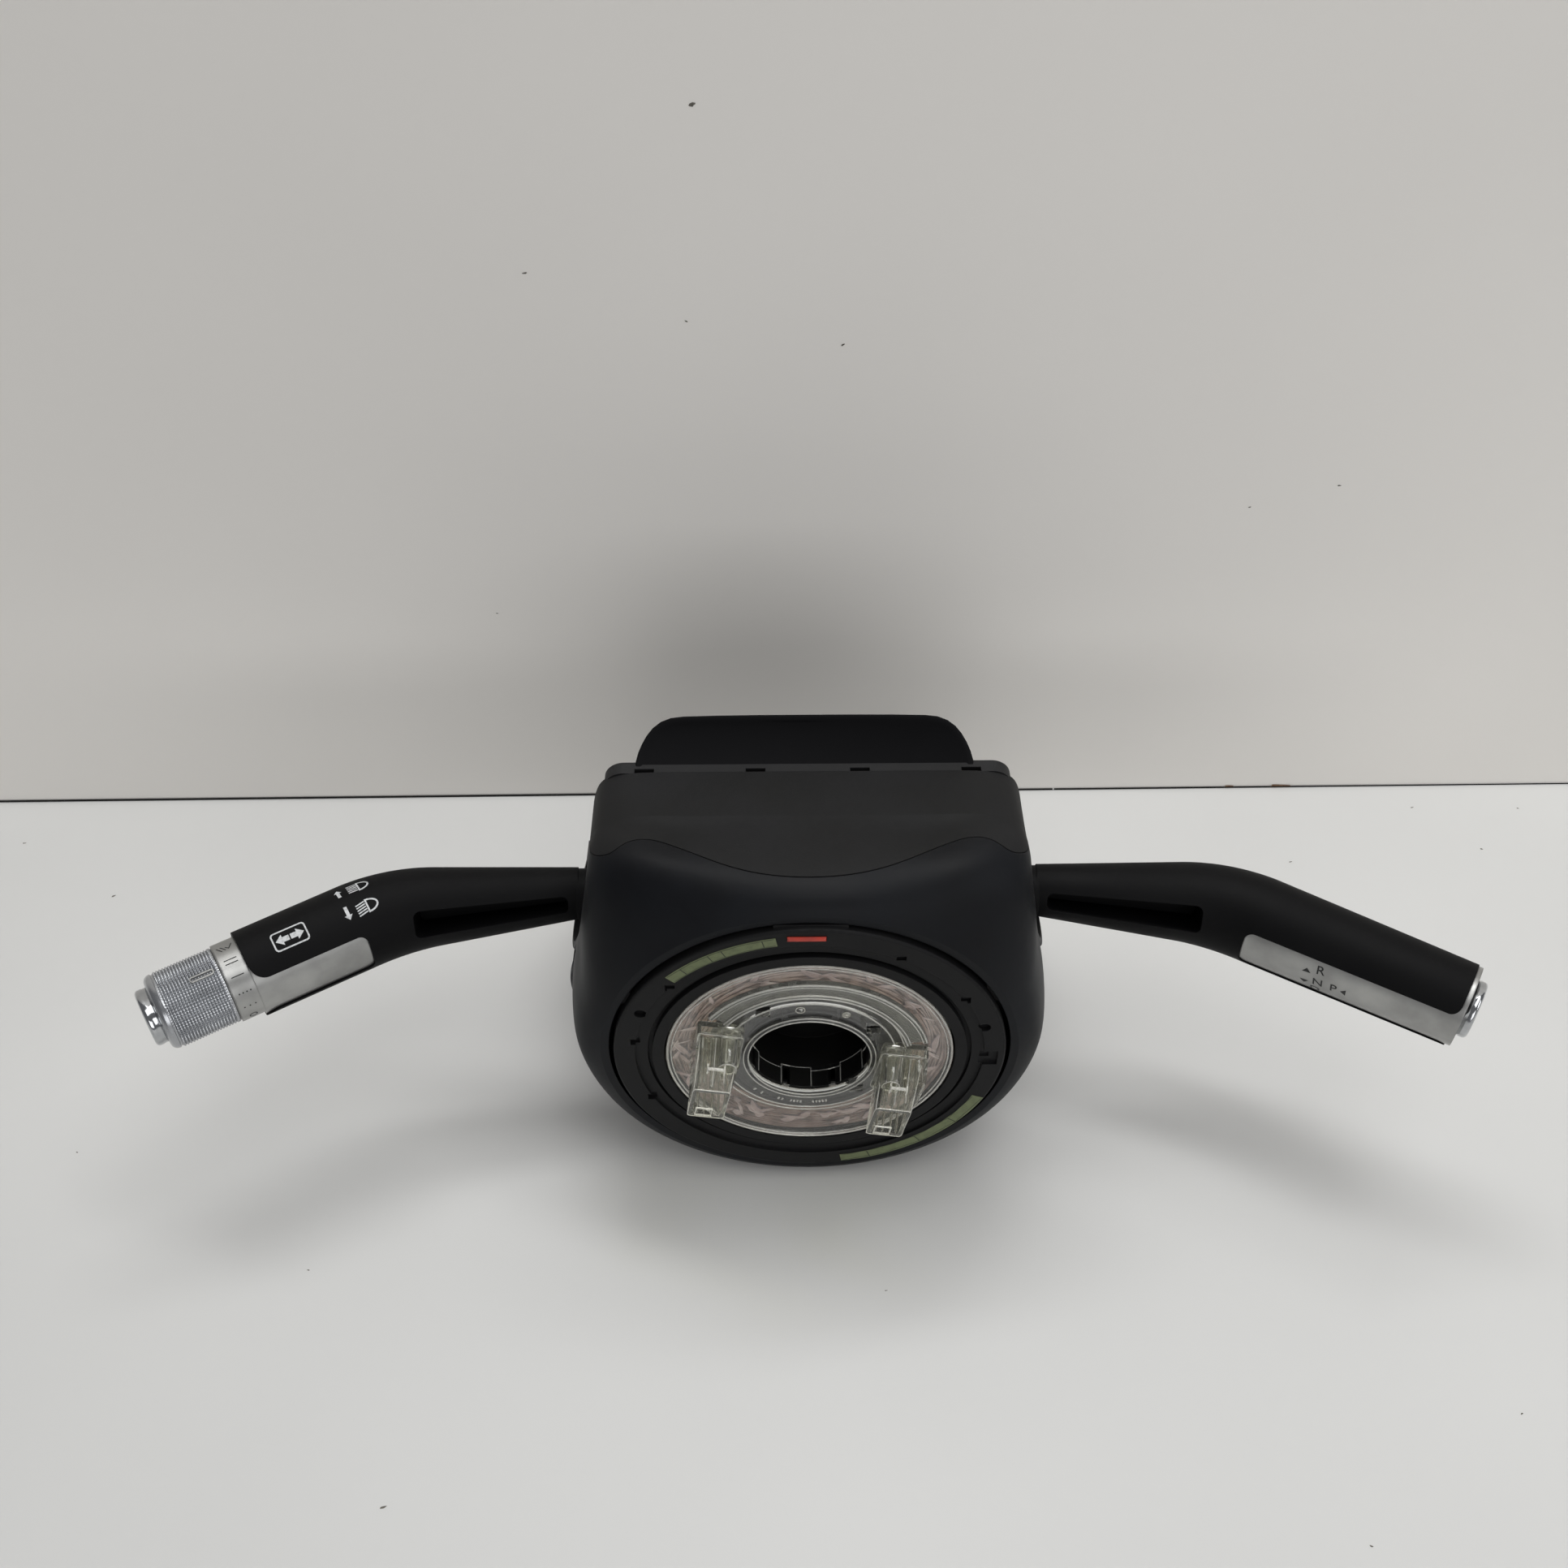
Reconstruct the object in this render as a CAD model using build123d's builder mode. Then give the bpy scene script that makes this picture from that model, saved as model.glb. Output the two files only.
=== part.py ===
"""Steering column switch module: two bent stalks, a clock spring face and a two-part shroud.

Frame in millimetres: X to the right, Y rearwards along the steering axis, Z up. The origin is
where the steering axis meets the front face of the ring that carries the clock spring.
"""
import os
from math import cos, radians, sin, sqrt, tan

from build123d import *

os.makedirs("parts", exist_ok=True)

# Shroud
LIP_Y = 1.5
LIP_R = 60.3
NOSE_R = 70.6
NOSE_LENGTH = 24.0
CORNER_SHARPNESS = 16
TOP_HEIGHT = 66.6
TOP_FALL = 0.125
SIDE_DISTANCE = 69.6
WALL = 2.5
BASE_Z = -66.0
CORNER_END = 36.0
HULL_END = 62.0
REAR_END = 108.0
SEAM_GAP = 0.3
SEAM_SIDE_Z = 15.0
PLUG_AT = (38.0, -9.0)
PLUG_SIZE = (16.0, 19.0)

# Frame of the gap cover, and the flap that leans on it
FRAME_Y = (56.0, 60.5)
FRAME_HALF = 59.0
FRAME_TOP = TOP_HEIGHT - 6.4
SLOTS_X = (-47.0, -15.0, 15.0, 47.0)
COVER_ROOT = (58.4, FRAME_TOP)
COVER_HALF = 49.4
COVER_RISE = 16.6

# Stalk pivots and the holes they leave the shroud by
PIVOT = (48.0, 50.0, 15.0)
HOLE_R = 14.3
COLLAR_R = 16.4
DOME_R = 19.6
DOME_WALL = 1.6
STEM_R = 7.85

# Clock spring face
RING_R = 56.5
RING_STEP_R = 50.2
RING_GROOVE_R = 46.6
RING_BORE_R = 41.9
RING_DEPTH = 3.0
NOTCH_ANGLES = (139.9, 171.1, -157.4, 61.0, 31.1, -0.1)
DISC_R = 41.4
HUB_R = 25.0
BORE_R = 17.6
HOLES = ((22.1, 35.6), (24.8, 122.0), (20.9, -48.5))
ROTOR_REST = -11.0
CARRIER_R = (28.4, 34.5)
CARRIER_START = 23.5
TOWER = (13.5, 17.0, 20.0)
TOWER_AT = (26.2, 2.2)
SLEEVE_R = 19.6
SLEEVE_END = 20.0
RIBBON_PITCH = 4.0
RIBBON_THICK = 0.9

# Steering angle gears
GEAR_MODULE = 1.0
ROTOR_TEETH = 48
MEASURE_TEETH = (18, 16)
MEASURE_ANGLES = (127.5, 52.5)
MESH_SLACK = 0.25
GEAR_Y = (15.2, 18.6)

# Housing behind the face
PLATE_Y = (20.4, 23.0)
PLATE_R = 53.0
SCREW_AT = [(51.0 * cos(radians(a)), 51.0 * sin(radians(a))) for a in (-150, -90, -30)]
TUBE_R = (20.6, 23.4)
TUBE_END = 78.0
BOARD_Y = (30.0, 31.6)
BOARD_Z = (-49.0, -13.0)
BOARD_HALF = 39.0
POSTS = ((-30, -20), (30, -20), (-24, -40), (24, -40))
COVER_DEPTH = 14.0
CASE_X = (34.0, 54.0)
CASE_HALF = (17.5, 19.5)
CASE_WALL = 2.5
TRUNNION_R = 2.5
GIMBAL_PIN_R = 1.6
RUNNING = 0.05

# Outer run of the stalks: start point, slope and section
RUN_START = (162.8, 19.9)
RUN_ANGLE = 32.2
RUN_U = (cos(radians(RUN_ANGLE)), -sin(radians(RUN_ANGLE)))
INNER_ANGLE = 6.8
ELBOW_AT = (124.67, 43.91)
ELBOW_R = 55.0
ELBOW_WIDTH = (24.0, 26.7)
SLEEVE_DIA = 23.8
KNOB_DIA = 23.0
KNOB_SPAN = (7.1, 26.8)
BUTTON_DIA = 17.0
TRIM_SEAT = 7.6
LEFT_SUNK = 0.7
RIGHT_SUNK = 0.45
TIP_WIDTH = (26.4, 25.0)
LEFT_END = 0.0
RIGHT_END = 28.0
SPINDLE_R = 7.0
SPINDLE_END = 20.0
LEFT_BUTTON = (23.4, 30.2)
RIGHT_BUTTON = (26.2, 31.0)

# Windows for the bright trims: start, lift in degrees, half width, corner radius
LEFT_WINDOW = (-33.2, 2.5, 6.9, 4.5)
RIGHT_WINDOW = (-34.0, -4.0, 6.9, 2.8)


def finish(builder, name):
    """Label a finished piece and write its file."""
    builder.part.label = name
    export_step(builder.part, f"parts/{name}.step")


def face_plane(depth, turn=0.0):
    """Plane across the steering axis that faces the driver, turned about that axis."""
    return Plane(origin=(0, depth, 0), x_dir=(cos(radians(turn)), 0, sin(radians(turn))), z_dir=(0, -1, 0))


def smooth(low, high, value):
    """Rise smoothly from nought to one between two values."""
    t = min(max((value - low) / (high - low), 0), 1)
    return t * t * (3 - 2 * t)


def hull_radius(angle, depth, inset):
    """Distance from the steering axis to the shroud skin in one direction."""
    across = cos(angle)
    up = sin(angle)
    t = min(max((depth - LIP_Y) / NOSE_LENGTH, 0), 1)
    nose = LIP_R + (NOSE_R - LIP_R) * sqrt(1 - (1 - t) ** 2)
    nose += 40 * smooth(0, 0.75, up) * smooth(2, CORNER_END, depth)
    top = TOP_HEIGHT - TOP_FALL * max(min(depth, HULL_END) - 8, 0)
    side = abs(across) * 0.985 + up * 0.17
    power = CORNER_SHARPNESS
    total = (nose - inset) ** -power
    total += smooth(0, 0.25, up) * max(0, side / (SIDE_DISTANCE - inset)) ** power
    total += max(0, up / (top - inset)) ** power
    return total ** (-1 / power)


def hull_point(angle, depth, inset):
    """Point on the shroud skin in the plane across the steering axis."""
    radius = hull_radius(angle, depth, inset)
    return Vector(radius * cos(angle), radius * sin(angle))


def hull_outline(depth, inset):
    """Closed outline of the shroud at one depth, with points gathered at the corners."""
    steps = 32
    points = []
    for i in range(steps):
        angle = radians(-90 + 360 * i / steps)
        angle += 0.12 * sin(4 * angle)
        points.append(hull_point(angle, depth, inset))
    Spline(*points, periodic=True)


def hull_section(depth, inset):
    """Closed section of the shroud at one depth."""
    with BuildSketch(face_plane(depth)) as section:
        with BuildLine():
            hull_outline(depth, inset)
        make_face()
    return section.sketch


def hull(inset, last):
    """Solid bounded by the shroud skin moved inwards by the inset."""
    with BuildPart() as body:
        loft([hull_section(depth, inset) for depth in (LIP_Y, 5.0, 12.0, 24.0, CORNER_END)])
        loft([hull_section(depth, inset) for depth in (CORNER_END, HULL_END)], ruled=True)
        extrude(hull_section(HULL_END, inset), amount=-(last - HULL_END))
        split(bisect_by=Plane.XY.offset(BASE_Z), keep=Keep.TOP)
    return body.part


def cavity():
    """Space inside the shroud: a cone in the nose, a barrel and a box for the upper corners."""
    with BuildPart() as body:
        nose = LIP_R - WALL
        barrel = NOSE_R - WALL - 0.4
        with BuildSketch(Plane.XY):
            with BuildLine():
                Polyline((0, 0), (nose, 0), (nose, LIP_Y), (nose + 5.4, 8.0), (barrel, 22.0),
                         (barrel, REAR_END + 2), (0, REAR_END + 2), close=True)
            make_face()
        revolve(axis=Axis.Y)
        top = TOP_HEIGHT - TOP_FALL * (HULL_END - 8) - WALL
        for depth, height, near in ((30.0, top + 2.6, 3.0), (HULL_END, top, 0.0)):
            with BuildSketch(face_plane(depth)) as corner:
                with BuildLine():
                    low = (SIDE_DISTANCE - WALL) / 0.985
                    high = (SIDE_DISTANCE - WALL - 0.17 * height) / 0.985 - near
                    Polyline((-low, 0), (-high, height), (high, height), (low, 0), close=True)
                make_face()
                fillet(corner.vertices().group_by(Axis.Y)[-1], 12.0)
        loft()
        with BuildSketch(face_plane(HULL_END)) as corner:
            with BuildLine():
                high = (SIDE_DISTANCE - WALL - 0.17 * top) / 0.985
                Polyline((-low, 0), (-high, top), (high, top), (low, 0), close=True)
            make_face()
            fillet(corner.vertices().group_by(Axis.Y)[-1], 12.0)
        extrude(amount=-50)
        split(bisect_by=Plane.XY.offset(BASE_Z + WALL), keep=Keep.TOP)
        # the barrel keeps clear of the flatter top near the front
        with BuildSketch(Plane.YZ.offset(-90)):
            with BuildLine():
                Polyline((-1, TOP_HEIGHT - WALL - 1.2), (30, top + 2.6), (HULL_END, top),
                         (REAR_END + 3, top), (REAR_END + 3, 90), (-1, 90), close=True)
            make_face()
        extrude(amount=180, mode=Mode.SUBTRACT)
        side = SIDE_DISTANCE - WALL - 0.2
        for sign in (-1, 1):
            edge = Plane(origin=(sign * side / 0.985, 0, 0), x_dir=(0, 1, 0), z_dir=(sign * 0.985, 0, 0.17))
            with BuildSketch(edge):
                with Locations((50, sign * 60)):
                    Rectangle(140, 118)
            extrude(amount=20, mode=Mode.SUBTRACT)
    return body.part


def seam_tool(shift):
    """Space of the upper shroud, bounded in plan by the wavy seam."""
    half = [(0, 10.8), (13.6, 12.3), (25.1, 16.4), (37.1, 23.3), (44.3, 26.1), (50.0, 25.0),
            (54.4, 22.8), (58.4, 24.6), (61.0, 33.0), (63.5, 42.0), (68.0, 46.5), (80.0, 47.0)]
    points = [(-x, y) for x, y in reversed(half[1:])] + half
    with BuildPart() as tool:
        with BuildSketch(Plane.XY.offset(SEAM_SIDE_Z - shift)):
            with BuildLine():
                Spline(*[(x, y - shift) for x, y in points])
                Polyline((80, 47.0 - shift), (80, 130), (-80, 130), (-80, 47.0 - shift))
            make_face()
        extrude(amount=80)
    return tool.part


def side_prism(profile):
    """Prism across the whole module from a profile in the side view (depth, height)."""
    with BuildPart() as prism:
        with BuildSketch(Plane.YZ.offset(-90)):
            with BuildLine():
                Polyline(*profile, close=True)
            make_face()
        extrude(amount=180)
    return prism.part


def collars():
    """Flared rims round both stalk holes, cut off on a slant."""
    with BuildPart() as rims:
        with BuildSketch(Plane(origin=(0, PIVOT[1], PIVOT[2]), x_dir=(1, 0, 0), z_dir=(0, 0, 1))):
            with BuildLine():
                Polyline((56, 0), (56, 22.0), (64, 19.2), (69, 17.0), (75, COLLAR_R), (75, 0), close=True)
            make_face()
        revolve(axis=Axis((0, PIVOT[1], PIVOT[2]), (1, 0, 0)))
        slant = Plane(origin=(68.0, PIVOT[1], PIVOT[2]), x_dir=(0, 1, 0), z_dir=(1, 0, 0.3))
        split(bisect_by=slant, keep=Keep.BOTTOM)
        fillet(rims.edges().sort_by(Axis.X)[-1], 0.9)
        mirror(about=Plane.YZ)
    return rims.part


# ---------------------------------------------------------------- shroud
outer_skin = hull(0, REAR_END)
inner_skin = cavity()
proud_skin = hull(-0.9, REAR_END)

with BuildPart() as shell:
    add(outer_skin)
    add(collars())
    add(inner_skin, mode=Mode.SUBTRACT)
    with BuildSketch(Plane.YZ.offset(-90)):
        with Locations((PIVOT[1], PIVOT[2])):
            Circle(HOLE_R)
    extrude(amount=180, mode=Mode.SUBTRACT)


with BuildPart() as upper_shroud:
    add(shell.part)
    add(seam_tool(0), mode=Mode.INTERSECT)
    add(side_prism([(0, 0), (0, 90), (56, 90), (56, 60), (72, SEAM_SIDE_Z), (72, 0)]), mode=Mode.INTERSECT)
finish(upper_shroud, "upper_shroud")

# inner rib that the housing plate is screwed to
with BuildPart() as rib:
    with BuildSketch(face_plane(PLATE_Y[1])):
        Circle(80)
        Circle(49.5, mode=Mode.SUBTRACT)
        with Locations((0, 50 - 8)):
            Rectangle(200, 100, mode=Mode.SUBTRACT)
    extrude(amount=-3)
    add(inner_skin, mode=Mode.INTERSECT)

with BuildPart() as lower_shroud:
    add(shell.part)
    add(seam_tool(SEAM_GAP), mode=Mode.SUBTRACT)
    rear = [(-5, -80), (-5, 90), (72, 90), (72, SEAM_SIDE_Z), (REAR_END, -22), (REAR_END, -80)]
    add(side_prism(rear), mode=Mode.INTERSECT)
    with BuildSketch(Plane.YZ.offset(-90)):
        with Locations(PLUG_AT):
            RectangleRounded(PLUG_SIZE[0], PLUG_SIZE[1], 3)
    extrude(amount=60, mode=Mode.SUBTRACT)
    add(rib.part)
    with BuildSketch(face_plane(PLATE_Y[1] + 2)):
        with Locations(*SCREW_AT):
            Circle(3.4)
    extrude(amount=-3.6)
    with BuildSketch(face_plane(PLATE_Y[1])):
        with Locations(*SCREW_AT):
            Circle(1.5)
    extrude(amount=-5.0, mode=Mode.SUBTRACT)
finish(lower_shroud, "lower_shroud")

with BuildPart() as blanking_plug:
    add(proud_skin)
    with BuildSketch(Plane.YZ.offset(-90)):
        with Locations(PLUG_AT):
            RectangleRounded(PLUG_SIZE[0] - 0.2, PLUG_SIZE[1] - 0.2, 3)
    extrude(amount=60, mode=Mode.INTERSECT)
    add(inner_skin, mode=Mode.SUBTRACT)
finish(blanking_plug, "blanking_plug")

# ---------------------------------------------------------------- gap cover behind the upper shroud

with BuildPart() as gap_cover_frame:
    with BuildSketch(face_plane(FRAME_Y[0])):
        with Locations((0, FRAME_TOP - 14)):
            RectangleRounded(2 * FRAME_HALF, 28, 6)
        with Locations((0, FRAME_TOP - 14 - 3.4)):
            RectangleRounded(2 * FRAME_HALF - 6.4, 28, 4, mode=Mode.SUBTRACT)
        with Locations((0, FRAME_TOP - 28)):
            Rectangle(200, 36, mode=Mode.SUBTRACT)
    extrude(amount=-(FRAME_Y[1] - FRAME_Y[0]))
    with BuildSketch(Plane.XY.offset(FRAME_TOP - 5)):
        with Locations((0, 54)):
            Rectangle(96, 9)
    extrude(amount=2.4)
    add(upper_shroud.part, mode=Mode.SUBTRACT)
    with BuildSketch(Plane.XY.offset(FRAME_TOP + 2)):
        with Locations([(x, FRAME_Y[0] + 0.9) for x in SLOTS_X]):
            Rectangle(5.6, 1.8)
    extrude(amount=-4.5, mode=Mode.SUBTRACT)
finish(gap_cover_frame, "gap_cover_frame")


with BuildPart() as gap_cover:
    with BuildSketch(Plane.YZ.offset(-52)):
        with BuildLine():
            y, z = COVER_ROOT
            ThreePointArc((y, z), (y + 6.6, z + 5.6), (y + 12.2, z + 12.6))
            Line((y + 12.2, z + 12.6), (y + 13.4, z + 11.6))
            ThreePointArc((y + 13.4, z + 11.6), (y + 7.8, z + 4.6), (y + 1.9, z))
            Line((y + 1.9, z), (y, z))
        make_face()
    extrude(amount=104)
    with BuildSketch(Plane(origin=(0, 50, 50), x_dir=(1, 0, 0), z_dir=(0, -1, 1))):
        with BuildLine():
            base = (COVER_ROOT[0] + FRAME_TOP - 100) / sqrt(2)
            side = [(COVER_HALF, base), (COVER_HALF - 2.0, base + 6.0), (COVER_HALF - 6.8, base + 12.4),
                    (COVER_HALF - 14.4, base + COVER_RISE)]
            Spline(*side)
            Line(side[-1], (-side[-1][0], side[-1][1]))
            Spline(*[(-x, y) for x, y in reversed(side)])
            Polyline((-COVER_HALF, base), (-COVER_HALF, base - 6), (COVER_HALF, base - 6), (COVER_HALF, base))
        make_face()
    extrude(amount=60, both=True, mode=Mode.INTERSECT)
finish(gap_cover, "gap_cover")

# ---------------------------------------------------------------- clock spring

with BuildPart() as front_ring:
    with BuildSketch(face_plane(0)):
        Circle(RING_R)
        Circle(RING_BORE_R, mode=Mode.SUBTRACT)
    extrude(amount=-RING_DEPTH)
    fillet(front_ring.faces().sort_by(Axis.Y)[0].outer_wire().edges(), 0.8)
    with BuildSketch(face_plane(0)):
        Circle(RING_STEP_R)
        Circle(RING_GROOVE_R, mode=Mode.SUBTRACT)
    extrude(amount=-0.8, mode=Mode.SUBTRACT)
    with BuildSketch(face_plane(0)):
        Circle(RING_GROOVE_R)
        Circle(RING_GROOVE_R - 1.3, mode=Mode.SUBTRACT)
    extrude(amount=-2.0, mode=Mode.SUBTRACT)
    with BuildSketch(face_plane(0)):
        for angle in NOTCH_ANGLES:
            with Locations((50.4 * cos(radians(angle)), 50.4 * sin(radians(angle)))):
                Rectangle(2.6, 2.6)
        with Locations((-47.4, 21.0), (49.4, 13.5)):
            Circle(1.7)
    extrude(amount=-1.6, mode=Mode.SUBTRACT)
    with BuildSketch(face_plane(0)):
        with Locations((51.6, -1.0)):
            Rectangle(5.2, 6.4)
    extrude(amount=-1.0, mode=Mode.SUBTRACT)
    # barrel that holds the cable cup and the lugs that meet the housing
    with BuildSketch(face_plane(RING_DEPTH)):
        Circle(46.6)
        Circle(44.8, mode=Mode.SUBTRACT)
    extrude(amount=-(PLATE_Y[0] - RING_DEPTH))
    # tab at the top, in the gap between ring and shroud lip
    with BuildSketch(face_plane(1.2)):
        with Locations((0, RING_R - 0.1)):
            Rectangle(20, 1.4)
    extrude(amount=-1.8)
    with BuildSketch(face_plane(0)):
        with Locations((-1.1, 53.1)):
            Rectangle(10.6, 1.8)
    extrude(amount=-1.4, mode=Mode.SUBTRACT)
finish(front_ring, "front_ring")

with BuildPart() as red_index_tab:
    with BuildSketch(face_plane(1.4)):
        with Locations((-1.1, 53.1)):
            Rectangle(10.4, 1.6)
    extrude(amount=2.0)
    chamfer(red_index_tab.faces().sort_by(Axis.Y)[0].edges(), 0.4)
finish(red_index_tab, "red_index_tab")

with BuildPart() as cable_cup:
    with BuildSketch(face_plane(RING_DEPTH + 0.2)):
        Circle(44.7)
        Circle(42.6, mode=Mode.SUBTRACT)
    extrude(amount=-9.8)
    with BuildSketch(face_plane(RING_DEPTH + 10.0)):
        Circle(44.7)
        Circle(SLEEVE_R + RUNNING, mode=Mode.SUBTRACT)
    extrude(amount=-1.4)
    with BuildSketch(face_plane(RING_DEPTH + 11.4)):
        with PolarLocations(37, 3, start_angle=-90):
            Circle(2.4)
    extrude(amount=-(PLATE_Y[0] - RING_DEPTH - 11.4))
finish(cable_cup, "cable_cup")


with BuildPart() as ribbon_cable:
    with BuildSketch(face_plane(RING_DEPTH + 1.4)):
        # half turns about two centres make an even spiral
        for half_turn in range(7):
            centre = 0 if half_turn % 2 == 0 else RIBBON_PITCH / 4
            radius = 24.6 + half_turn * RIBBON_PITCH / 2 + (0 if half_turn % 2 == 0 else -RIBBON_PITCH / 4)
            radius += RIBBON_PITCH / 4 * (half_turn % 2)
            start = 0 if half_turn % 2 == 0 else 180
            with BuildLine():
                inner = CenterArc((centre, 0), radius, start, 180)
                outer = CenterArc((centre, 0), radius + RIBBON_THICK, start, 180)
                Line(inner @ 0, outer @ 0)
                Line(inner @ 1, outer @ 1)
            make_face()
    extrude(amount=-8.6)
finish(ribbon_cable, "ribbon_cable")

# ---------------------------------------------------------------- rotor

with BuildPart() as rotor_disc:
    with BuildSketch(face_plane(0.8)):
        Circle(DISC_R)
        Circle(BORE_R, mode=Mode.SUBTRACT)
    extrude(amount=-1.2)
    with BuildSketch(face_plane(0.8)):
        Circle(DISC_R)
        Circle(DISC_R - 1.6, mode=Mode.SUBTRACT)
    extrude(amount=0.5)
    with BuildSketch(face_plane(0.8)):
        Circle(HUB_R)
        Circle(BORE_R, mode=Mode.SUBTRACT)
    extrude(amount=0.8)
    with BuildSketch(face_plane(0.0)):
        Circle(BORE_R + 1.6)
        Circle(BORE_R, mode=Mode.SUBTRACT)
    extrude(amount=0.7)
    with BuildSketch(face_plane(0.0)):
        for radius, angle in HOLES:
            with Locations((radius * cos(radians(angle)), radius * sin(radians(angle)))):
                Rectangle(4.0, 3.6)
    extrude(amount=-3, mode=Mode.SUBTRACT)
finish(rotor_disc, "rotor_disc")

def tower(side):
    """Clear connector shroud standing on the rotor, open towards the driver."""
    wide, tall, length = TOWER
    with BuildPart() as body:
        with BuildSketch(face_plane(0.8, ROTOR_REST)):
            with Locations((side * TOWER_AT[0], TOWER_AT[1])):
                Rectangle(wide, tall)
        extrude(amount=0.45 * length + 0.8)
        with BuildSketch(face_plane(0.8, ROTOR_REST)):
            with Locations((side * TOWER_AT[0], TOWER_AT[1] - 1.6)):
                Rectangle(wide - 2.4, tall - 4.2)
        extrude(amount=length + 0.8)
        with BuildSketch(face_plane(0.8, ROTOR_REST)):
            with Locations((side * (TOWER_AT[0] - 1.5), TOWER_AT[1] + 5)):
                Circle(3.4)
        extrude(amount=0.55 * length)
        with BuildSketch(face_plane(-length, ROTOR_REST)):
            with Locations((side * TOWER_AT[0], TOWER_AT[1] - 1.6)):
                Rectangle(wide - 4.4, tall - 6.2)
        extrude(amount=-(length - 1.2), mode=Mode.SUBTRACT)
        with BuildSketch(face_plane(-1.2, ROTOR_REST)):
            with Locations((side * TOWER_AT[0], TOWER_AT[1] - 1.6)):
                Rectangle(1.0, tall - 6.2)
        extrude(amount=0.5 * length)
        with BuildSketch(face_plane(-1.2, ROTOR_REST)):
            with Locations((side * TOWER_AT[0], TOWER_AT[1] - 1.6)):
                with GridLocations(5.2, 3.4, 2, 3):
                    Rectangle(0.8, 0.8)
        extrude(amount=0.4 * length)
        add(rotor_disc.part, mode=Mode.SUBTRACT)
    return body


tower_left = tower(-1)
finish(tower_left, "tower_left")
tower_right = tower(1)
finish(tower_right, "tower_right")

# raised guide over the top half of the disc, ending at the feet of the towers
with BuildPart() as rotor_carrier:
    with BuildSketch(face_plane(0.8, ROTOR_REST)):
        with BuildLine():
            CenterArc((0, 0), CARRIER_R[1], CARRIER_START, 180 - 2 * CARRIER_START)
            CenterArc((0, 0), CARRIER_R[0], CARRIER_START, 180 - 2 * CARRIER_START)
            for angle in (CARRIER_START, 180 - CARRIER_START):
                Line((CARRIER_R[0] * cos(radians(angle)), CARRIER_R[0] * sin(radians(angle))),
                     (CARRIER_R[1] * cos(radians(angle)), CARRIER_R[1] * sin(radians(angle))))
        make_face()
    extrude(amount=1.8)
    with BuildSketch(face_plane(-1.0, ROTOR_REST)):
        Circle(CARRIER_R[1] - 1.1)
        Circle(CARRIER_R[0] + 1.1, mode=Mode.SUBTRACT)
    extrude(amount=-1.0, mode=Mode.SUBTRACT)
finish(rotor_carrier, "rotor_carrier")

with BuildPart() as drive_sleeve:
    with BuildSketch(face_plane(2.0)):
        Circle(SLEEVE_R)
        Circle(BORE_R, mode=Mode.SUBTRACT)
    extrude(amount=-(SLEEVE_END - 2.0))
    with BuildSketch(face_plane(2.0)):
        with PolarLocations(BORE_R + 1, 8, start_angle=22.5):
            Rectangle(4.4, 2.2)
    extrude(amount=-7.0, mode=Mode.SUBTRACT)
finish(drive_sleeve, "drive_sleeve")


def gear(teeth, bore, centre, phase, span):
    """Spur gear with straight-sided teeth about an axis parallel to the steering axis."""
    pitch = GEAR_MODULE * teeth / 2
    root = pitch - 1.1 * GEAR_MODULE
    tip = pitch + 0.75 * GEAR_MODULE
    half = radians(90 / teeth)
    with BuildPart() as body:
        with BuildSketch(face_plane(span[0])):
            with Locations(centre):
                Circle(root)
                Circle(bore, mode=Mode.SUBTRACT)
            with BuildSketch(Plane.XY, mode=Mode.PRIVATE) as tooth:
                with BuildLine():
                    Polyline((root - 0.4, -root * half * 1.2), (tip, -tip * half * 0.5),
                             (tip, tip * half * 0.5), (root - 0.4, root * half * 1.2), close=True)
                make_face()
            with Locations(centre):
                with PolarLocations(0, teeth, start_angle=phase):
                    add(tooth.sketch)
        extrude(amount=-(span[1] - span[0]))
    return body


rotor_gear = gear(ROTOR_TEETH, SLEEVE_R + 0.04, (0, 0), 0.0, GEAR_Y)
finish(rotor_gear, "rotor_gear")

measure_centres = []
for index, (teeth, angle) in enumerate(zip(MEASURE_TEETH, MEASURE_ANGLES)):
    reach = GEAR_MODULE * (ROTOR_TEETH + teeth) / 2 + MESH_SLACK
    centre = (reach * cos(radians(angle)), reach * sin(radians(angle)))
    measure_centres.append(centre)
    wheel = gear(teeth, 2.05, centre, angle + 180 + 180 / teeth, GEAR_Y)
    finish(wheel, f"measuring_gear_{index + 1}")

# ---------------------------------------------------------------- housing and electronics

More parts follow.
